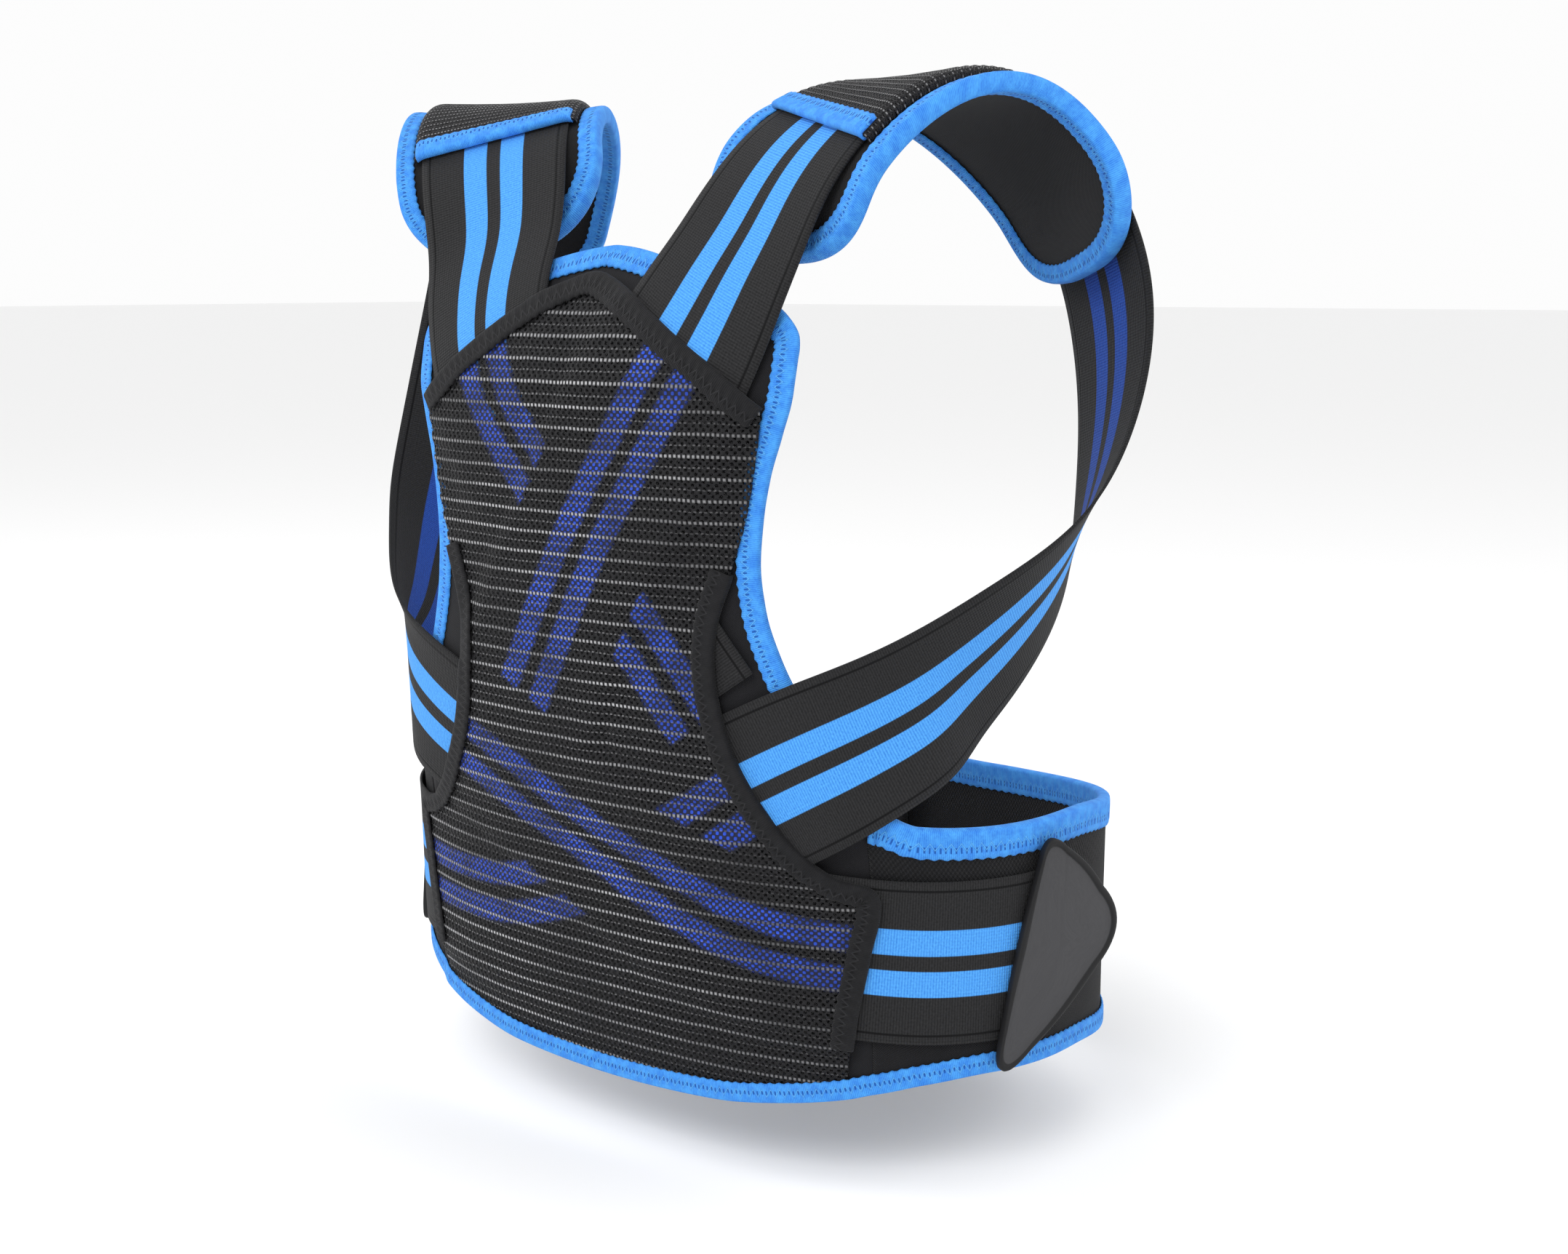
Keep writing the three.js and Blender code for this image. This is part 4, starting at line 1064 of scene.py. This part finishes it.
# The cover's inner faces: more open, with the painted highlight dimmed to grey 0.05 as painted shade
NET_SHADED_BACK = net_material("cover_net_back_painted_shade", NET_ROW_PITCH / 1000, openness=0.95, highlight_grey=0.05)
SLEEVE_NET = net_material("sleeve_net", SLEEVE_ROW_PITCH / 1000, SLEEVE_HOLE_PITCH / 1000, 0.6, 0.3)
GRIP = tab_material("grip_rubber")


def settle(item, node):
    """Puts a piece in place of its CAD node."""
    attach(item, "root")
    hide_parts(node)
    return item


def cloth_area(face):
    """Area of a grid of points, in square metres."""
    one = np.cross(face[1:, :-1] - face[:-1, :-1], face[1:, 1:] - face[:-1, :-1])
    two = np.cross(face[1:, 1:] - face[:-1, :-1], face[:-1, 1:] - face[:-1, :-1])
    return float(np.linalg.norm(one, axis=-1).sum() + np.linalg.norm(two, axis=-1).sum()) / 2e6


# Pieces
def make_back_panel():
    level = np.linspace(0, 1, 110)[:, None]
    share = np.linspace(-1, 1, 71)[None]
    way, height = panel_point(level, share)
    soft = 0.25 * np.sin(way / 23) * np.sin(height / 31)
    inner = torso_point(way, height, 0)
    outer = torso_point(way, height, FOAM_THICKNESS + soft)
    item = closed_sheet("back_panel_foam", inner, outer, way, height, FOAM_CLOTH)
    settle(item, "back_panel")


def make_wing(name, side):
    way = np.linspace(SEAM_WAY + 0.1, WING_END, 130)[:, None]
    share = np.linspace(0, 1, 28)[None]
    height = lower_edge(way) + (upper_edge(way) - lower_edge(way)) * share
    lift = wing_lift(side, way) + 0 * share
    soft = 0.3 * np.sin(way / 17) * np.sin(math.pi * share)
    inner = torso_point(side * way, height, lift)
    outer = torso_point(side * way, height, lift + FOAM_THICKNESS + soft)
    below_top = upper_edge(way) - height
    item = closed_sheet(f"belt_wing_{name}_cloth", inner, outer, side * way, below_top, WING_CLOTH)
    settle(item, f"belt_wing_{name}")


def make_mesh_cover():
    body = np.linspace(0, MESH_TIP_START, 330)
    tip = np.linspace(MESH_TIP_START + 0.002, MESH_OUTLINE[-1][0], 8)
    heights = np.concatenate([body, tip])[:, None]
    share = np.linspace(-1, 1, 111)[None]
    way, height = mesh_point(heights, mesh_half(heights), share)
    ridge = 0.4 * np.cos(2 * math.pi * height / NET_ROW_PITCH)
    sag = 0.5 * np.sin(way / 19 + 1) * np.sin(height / 27)
    lift = mesh_lift(way, height)
    soft = smooth_step(height - lower_edge(way), 12, 40)
    inner = torso_point(way, height, lift + 0.2 + (sag * 0.5 + ridge) * soft)
    outer = torso_point(way, height, lift + MESH_THICKNESS + (sag * 0.5 + ridge) * soft)
    item = closed_sheet("mesh_cover_net", inner, outer, way, height, NET, NET_SHADED_BACK)
    seen = stripe_under(way, height).ravel()
    layer = item.data.attributes.new("stripe", "FLOAT", "POINT")
    layer.data.foreach_set("value", np.concatenate([seen, seen]))
    settle(item, "mesh_cover")


def make_strap(name, side):
    rows, _ = strap_rows(name, side)
    along = distance_along(rows[:, STRAP_COLUMNS // 2])
    forward = np.gradient(rows, axis=0)
    lateral = np.gradient(rows, axis=1)
    normal = unit(np.cross(lateral, forward)) * side
    outer = rows + normal * ELASTIC_THICKNESS
    across = LANES[None] * ELASTIC_WIDTH / 2 + 0 * along[:, None]
    item = closed_sheet(
        f"elastic_strap_{name}_cloth", rows, outer, across, along[:, None], ELASTIC, ELASTIC_SHADED_BACK
    )
    settle(item, f"elastic_strap_{name}")


def make_pad(name, side):
    pad = PadMap(name, side)
    distance, half = pad_rows(pad.total)
    share = np.sin(np.linspace(-1, 1, 29) * math.pi / 2)[None]
    crown = (1 - np.abs(share) ** 4) * np.minimum(half / (PAD_WIDTH / 2), 1)[:, None]
    sideways = share * half[:, None]
    outer = pad.place(distance[:, None], sideways, -0.9 * (1 - crown))
    inner = pad.place(distance[:, None], sideways, -PAD_THICKNESS + 1.0 * (1 - crown) - 0.5 * crown)
    item = closed_sheet(f"shoulder_pad_{name}_foam", inner, outer, sideways, distance[:, None], PAD_CLOTH)
    settle(item, f"shoulder_pad_{name}")

    outline = np.concatenate(
        [np.stack([distance, half], axis=-1), np.stack([distance, -half], axis=-1)[::-1]]
    )
    looped = np.concatenate([outline, outline[:1]])
    line = even_line(looped, TAPE_STEP)[:-1]
    before = np.roll(line, 1, axis=0)
    after = np.roll(line, -1, axis=0)
    direction = unit(after - before)
    along = distance_along(line)

    def place(inset, rise):
        return pad.place(
            line[:, 0] + direction[:, 1] * inset, line[:, 1] - direction[:, 0] * inset, rise - PAD_THICKNESS
        )

    rings, around = tape_rings(place, PAD_THICKNESS + 0 * along, TAPE_WIDTH, along)
    tape = ring_body(f"shoulder_pad_tape_{name}_woven", rings, around, along, True, BLUE_TAPE)
    settle(tape, f"shoulder_pad_tape_{name}")
    make_sleeve(name, pad)


def make_sleeve(name, pad):
    half = PAD_WIDTH / 2 - TAPE_WIDTH - 1
    flat = ELASTIC_WIDTH / 2 + 0.6
    top = PAD_GAP + ELASTIC_THICKNESS + SLEEVE_ROOM

    def rise_at(sideways):
        share = np.clip((np.abs(sideways) - flat + 4) / (half - flat + 4), 0, 1)
        return 0.7 + (top - 0.7) * np.sqrt(np.maximum(1 - share**2, 0))

    distance = np.linspace(SLEEVE_START, pad.total - SLEEVE_END, 110)[:, None]
    sideways = half * np.sin(np.linspace(-1, 1, 41) * math.pi / 2)[None]
    ridge = 0.22 * np.cos(2 * math.pi * distance / SLEEVE_ROW_PITCH)
    rise = rise_at(sideways) + 0 * distance
    inner = pad.place(distance, sideways, rise)
    outer = pad.place(distance, sideways, rise + MESH_THICKNESS + ridge)
    item = closed_sheet(f"strap_sleeve_{name}_net", inner, outer, sideways, distance, SLEEVE_NET)
    settle(item, f"strap_sleeve_{name}")
    area = cloth_area(outer)

    reach = flat + 0.45 * (half - flat)
    line = np.arange(-reach, reach + TAPE_STEP / 2, TAPE_STEP)
    for end, start, inward in (("rear", SLEEVE_START, 1), ("front", pad.total - SLEEVE_END, -1)):

        def place(inset, rise, start=start, inward=inward):
            return pad.place(start + inward * inset, line, rise_at(line) + rise)

        rings, around = tape_rings(place, MESH_THICKNESS + 0 * line, TAPE_WIDTH, line + reach)
        tape = ring_body(f"sleeve_{end}_tape_{name}_woven", rings, around, line + reach, False, BLUE_TAPE)
        settle(tape, f"sleeve_{end}_tape_{name}")


def make_grip_tab(name, side):
    corners = np.array([(forward * TAB_REACH, up * TAB_HEIGHT) for forward, up, _ in TAB_CORNERS])
    centre = corners.mean(axis=0)
    arcs = []
    for index, corner in enumerate(corners):
        before = unit(corners[index - 1] - corner)
        after = unit(corners[(index + 1) % 3] - corner)
        spread = math.acos(float(np.dot(before, after)))
        cut = TAB_CORNERS[index][2] / math.tan(spread / 2)
        share = np.linspace(0, 1, 17)[:, None]
        start = corner + before * cut
        end = corner + after * cut
        arcs.append((1 - share) ** 2 * start + 2 * share * (1 - share) * corner + share**2 * end)
    outline = []
    for index, arc in enumerate(arcs):
        start, end = arc[-1], arcs[(index + 1) % 3][0]
        span = np.linspace(0, 1, 14)[1:-1, None]
        normal = unit(np.array([end[1] - start[1], start[0] - end[0]]))
        inward = np.sign(np.dot(normal, centre - start))
        outline += [arc, start + (end - start) * span - normal * inward * TAB_BULGE * np.sin(math.pi * span)]
    outline = np.concatenate(outline)
    seat = STRAP_OVER_FOAM + ELASTIC_THICKNESS + TAB_GAP
    origin = torso_point(side * TAB_WAY * WAY_TO_FRONT, TAB_SEAT_HEIGHT, seat)
    ahead = torso_point(side * (TAB_WAY * WAY_TO_FRONT + 1), TAB_SEAT_HEIGHT, seat)
    forward = unit(ahead - origin)
    out = unit(np.cross(forward, np.array([0, 0, side])))
    top = TAB_THICKNESS + TAB_RIM_HEIGHT
    rim = TAB_RIM_WIDTH
    # distance in from the outline and rise: the side, the rim and the slightly crowned face
    levels = [(0.6, 0), (0.1, 0.5), (0, 1.2), (0, top - 1)]
    levels += [(0.5, top - 0.2), (1.4, top), (rim - 1.1, top), (rim - 0.4, top - 0.3)]
    levels += [(rim + 0.2, TAB_THICKNESS + 0.1), (rim + 1.1, TAB_THICKNESS)]
    crown = ((8, 0.05), (13, 0.2), (19, 0.4), (25, 0.5))
    levels += [(distance, TAB_THICKNESS + rise) for distance, rise in crown]
    rings = []
    for distance, rise in levels:
        reach = np.linalg.norm(outline - centre, axis=-1, keepdims=True)
        flat = centre + (outline - centre) * np.maximum(1 - distance / reach, 0.04)
        bend = 0.0009 * flat[:, :1] ** 2
        rings.append(origin + forward * flat[:, :1] + out * (rise - bend) + np.array([0, 0, 1]) * flat[:, 1:])
    places = np.arange(len(outline), dtype=float)
    depths = np.array([distance for distance, _ in levels], float)
    body = (np.stack(rings), places, depths, False, GRIP)
    item = ring_body(f"grip_tab_{name}_rubber", *body, turned=True)
    settle(item, f"grip_tab_{name}")


def make_tapes():
    level = np.linspace(PANEL_TAPE_START + 0.02, 1, 40)
    side_way, side_height = panel_point(level, np.ones(40))
    share = np.linspace(1, 0, 24)[1:]
    top_way, top_height = panel_point(np.ones(23), share)
    edge_way = np.concatenate([side_way, top_way])
    right = np.stack([edge_way, np.concatenate([side_height, top_height])], axis=-1)
    left = right[:-1][::-1] * np.array([-1, 1])
    flat_lift = lambda way, height: 0 * way
    foam = lambda way, height: FOAM_THICKNESS + 0 * way
    points = np.concatenate([right, left])
    map_tape("panel_edge_tape", "blue_tape", points, 1, flat_lift, foam, BLUE_TAPE)

    way = np.linspace(-WING_END, WING_END, 160)
    lift = lambda way, height: np.where(way > 0, wing_lift(1, way), 0)
    held = MESH_FOOT_LIFT + MESH_THICKNESS
    reach = MESH_OUTLINE[0][1] * PANEL_HALF_WIDTH
    hold = lambda way, height: held + (FOAM_THICKNESS - held) * smooth_step(np.abs(way), reach, SEAM_WAY)
    points = np.stack([way, lower_edge(way)], axis=-1)
    map_tape("lower_edge_tape", "blue_tape", points, 1, lift, hold, BLUE_TAPE)

    for name, side in SIDES.items():
        way = np.linspace(SEAM_WAY + 1.6, WING_END, 80)
        points = np.stack([side * way, upper_edge(way)], axis=-1)
        lift = lambda way, height, side=side: wing_lift(side, way)
        node = f"belt_top_tape_{name}"
        form = (BELT_TAPE, BELT_TAPE_WIDTH, BELT_TAPE_PITCH)
        map_tape(node, "blue_tape", points, -side, lift, foam, *form)

    hold = lambda way, height: MESH_THICKNESS + 0.4 + 0 * way
    rows = [row for row in MESH_OUTLINE if row[0] > 0.84]
    right = np.array([mesh_point(height, half, 1) for height, half in rows], float)
    left = right[::-1] * np.array([-1, 1])
    points = np.concatenate([right, left])
    map_tape("roof_tape", "black_tape", points, 1, mesh_lift, hold, BLACK_TAPE)
    rows = [row for row in MESH_OUTLINE if MESH_SIDE_TAPE[0] <= row[0] <= MESH_SIDE_TAPE[1]]
    for name, side in SIDES.items():
        points = np.array([mesh_point(height, half, side) for height, half in rows], float)
        map_tape(f"mesh_side_tape_{name}", "black_tape", points, side, mesh_lift, hold, BLACK_TAPE)


def make_stage():
    size = 30
    low = cad_bounds[0][2] - 0.035
    mesh = bpy.data.meshes.new("floor")
    corners = [(-size, -size, low), (size, -size, low), (size, size, low), (-size, size, low)]
    mesh.from_pydata(corners, [], [(0, 1, 2, 3)])
    floor = add_object("floor", mesh)
    graph = Graph("pale_floor")
    graph.finish((0.9, 0.9, 0.9), 0.9, 0.0, 0.1)
    mesh.materials.append(graph.material)
    floor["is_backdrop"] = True
    world = bpy.data.worlds.new("studio")
    bpy.context.scene.world = world
    world.use_nodes = True
    background = world.node_tree.nodes["Background"]
    background.inputs["Color"].default_value = (1, 1, 1, 1)
    background.inputs["Strength"].default_value = 0.98
    # place, energy in watts, size in metres
    lamps = (((0.4, -1.9, 1.5), 24, 1.1), ((-1.9, -0.9, 0.9), 14, 1.1), ((1.9, 0.9, 1.1), 12, 1.1))
    for place, energy, breadth in lamps:
        lamp = bpy.data.lights.new("soft_box", "AREA")
        lamp.energy = energy
        lamp.size = breadth
        item = add_object("soft_box", lamp)
        item.location = place
        toward = -np.array(place, float) + np.array([0, 0, -0.2])
        item.rotation_euler = look_matrix(toward).to_euler()


def look_matrix(toward):
    forward = unit(np.asarray(toward, float))
    right = unit(np.cross(forward, np.array([0, 0, 1.0])))
    upward = np.cross(right, forward)
    return Matrix([(right[axis], upward[axis], -forward[axis]) for axis in range(3)])


def make_camera():
    camera = bpy.data.cameras.new("camera")
    camera.lens = CAMERA_LENS
    camera.sensor_width = 36
    camera.clip_end = 100
    item = add_object("camera", camera)
    yaw, pitch = math.radians(CAMERA_YAW), math.radians(CAMERA_PITCH)
    toward = (-math.sin(yaw) * math.cos(pitch), math.cos(yaw) * math.cos(pitch), math.sin(pitch))
    item.rotation_euler = look_matrix(toward).to_euler()
    item.location = [CAMERA_PLACE[axis] - SHOULDERS[axis] / 1000 for axis in range(3)]
    bpy.context.scene.camera = item
    bpy.context.scene.view_settings.view_transform = "Standard"


make_back_panel()
make_mesh_cover()
make_tapes()
for name, side in SIDES.items():
    make_wing(name, side)
    make_strap(name, side)
    make_pad(name, side)
    make_grip_tab(name, side)
make_stage()
make_camera()

visual_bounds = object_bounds()
sizes = {"cad": cad_bounds, "visual": visual_bounds}
{key: [list(map(float, corner)) for corner in box] for key, box in sizes.items()}
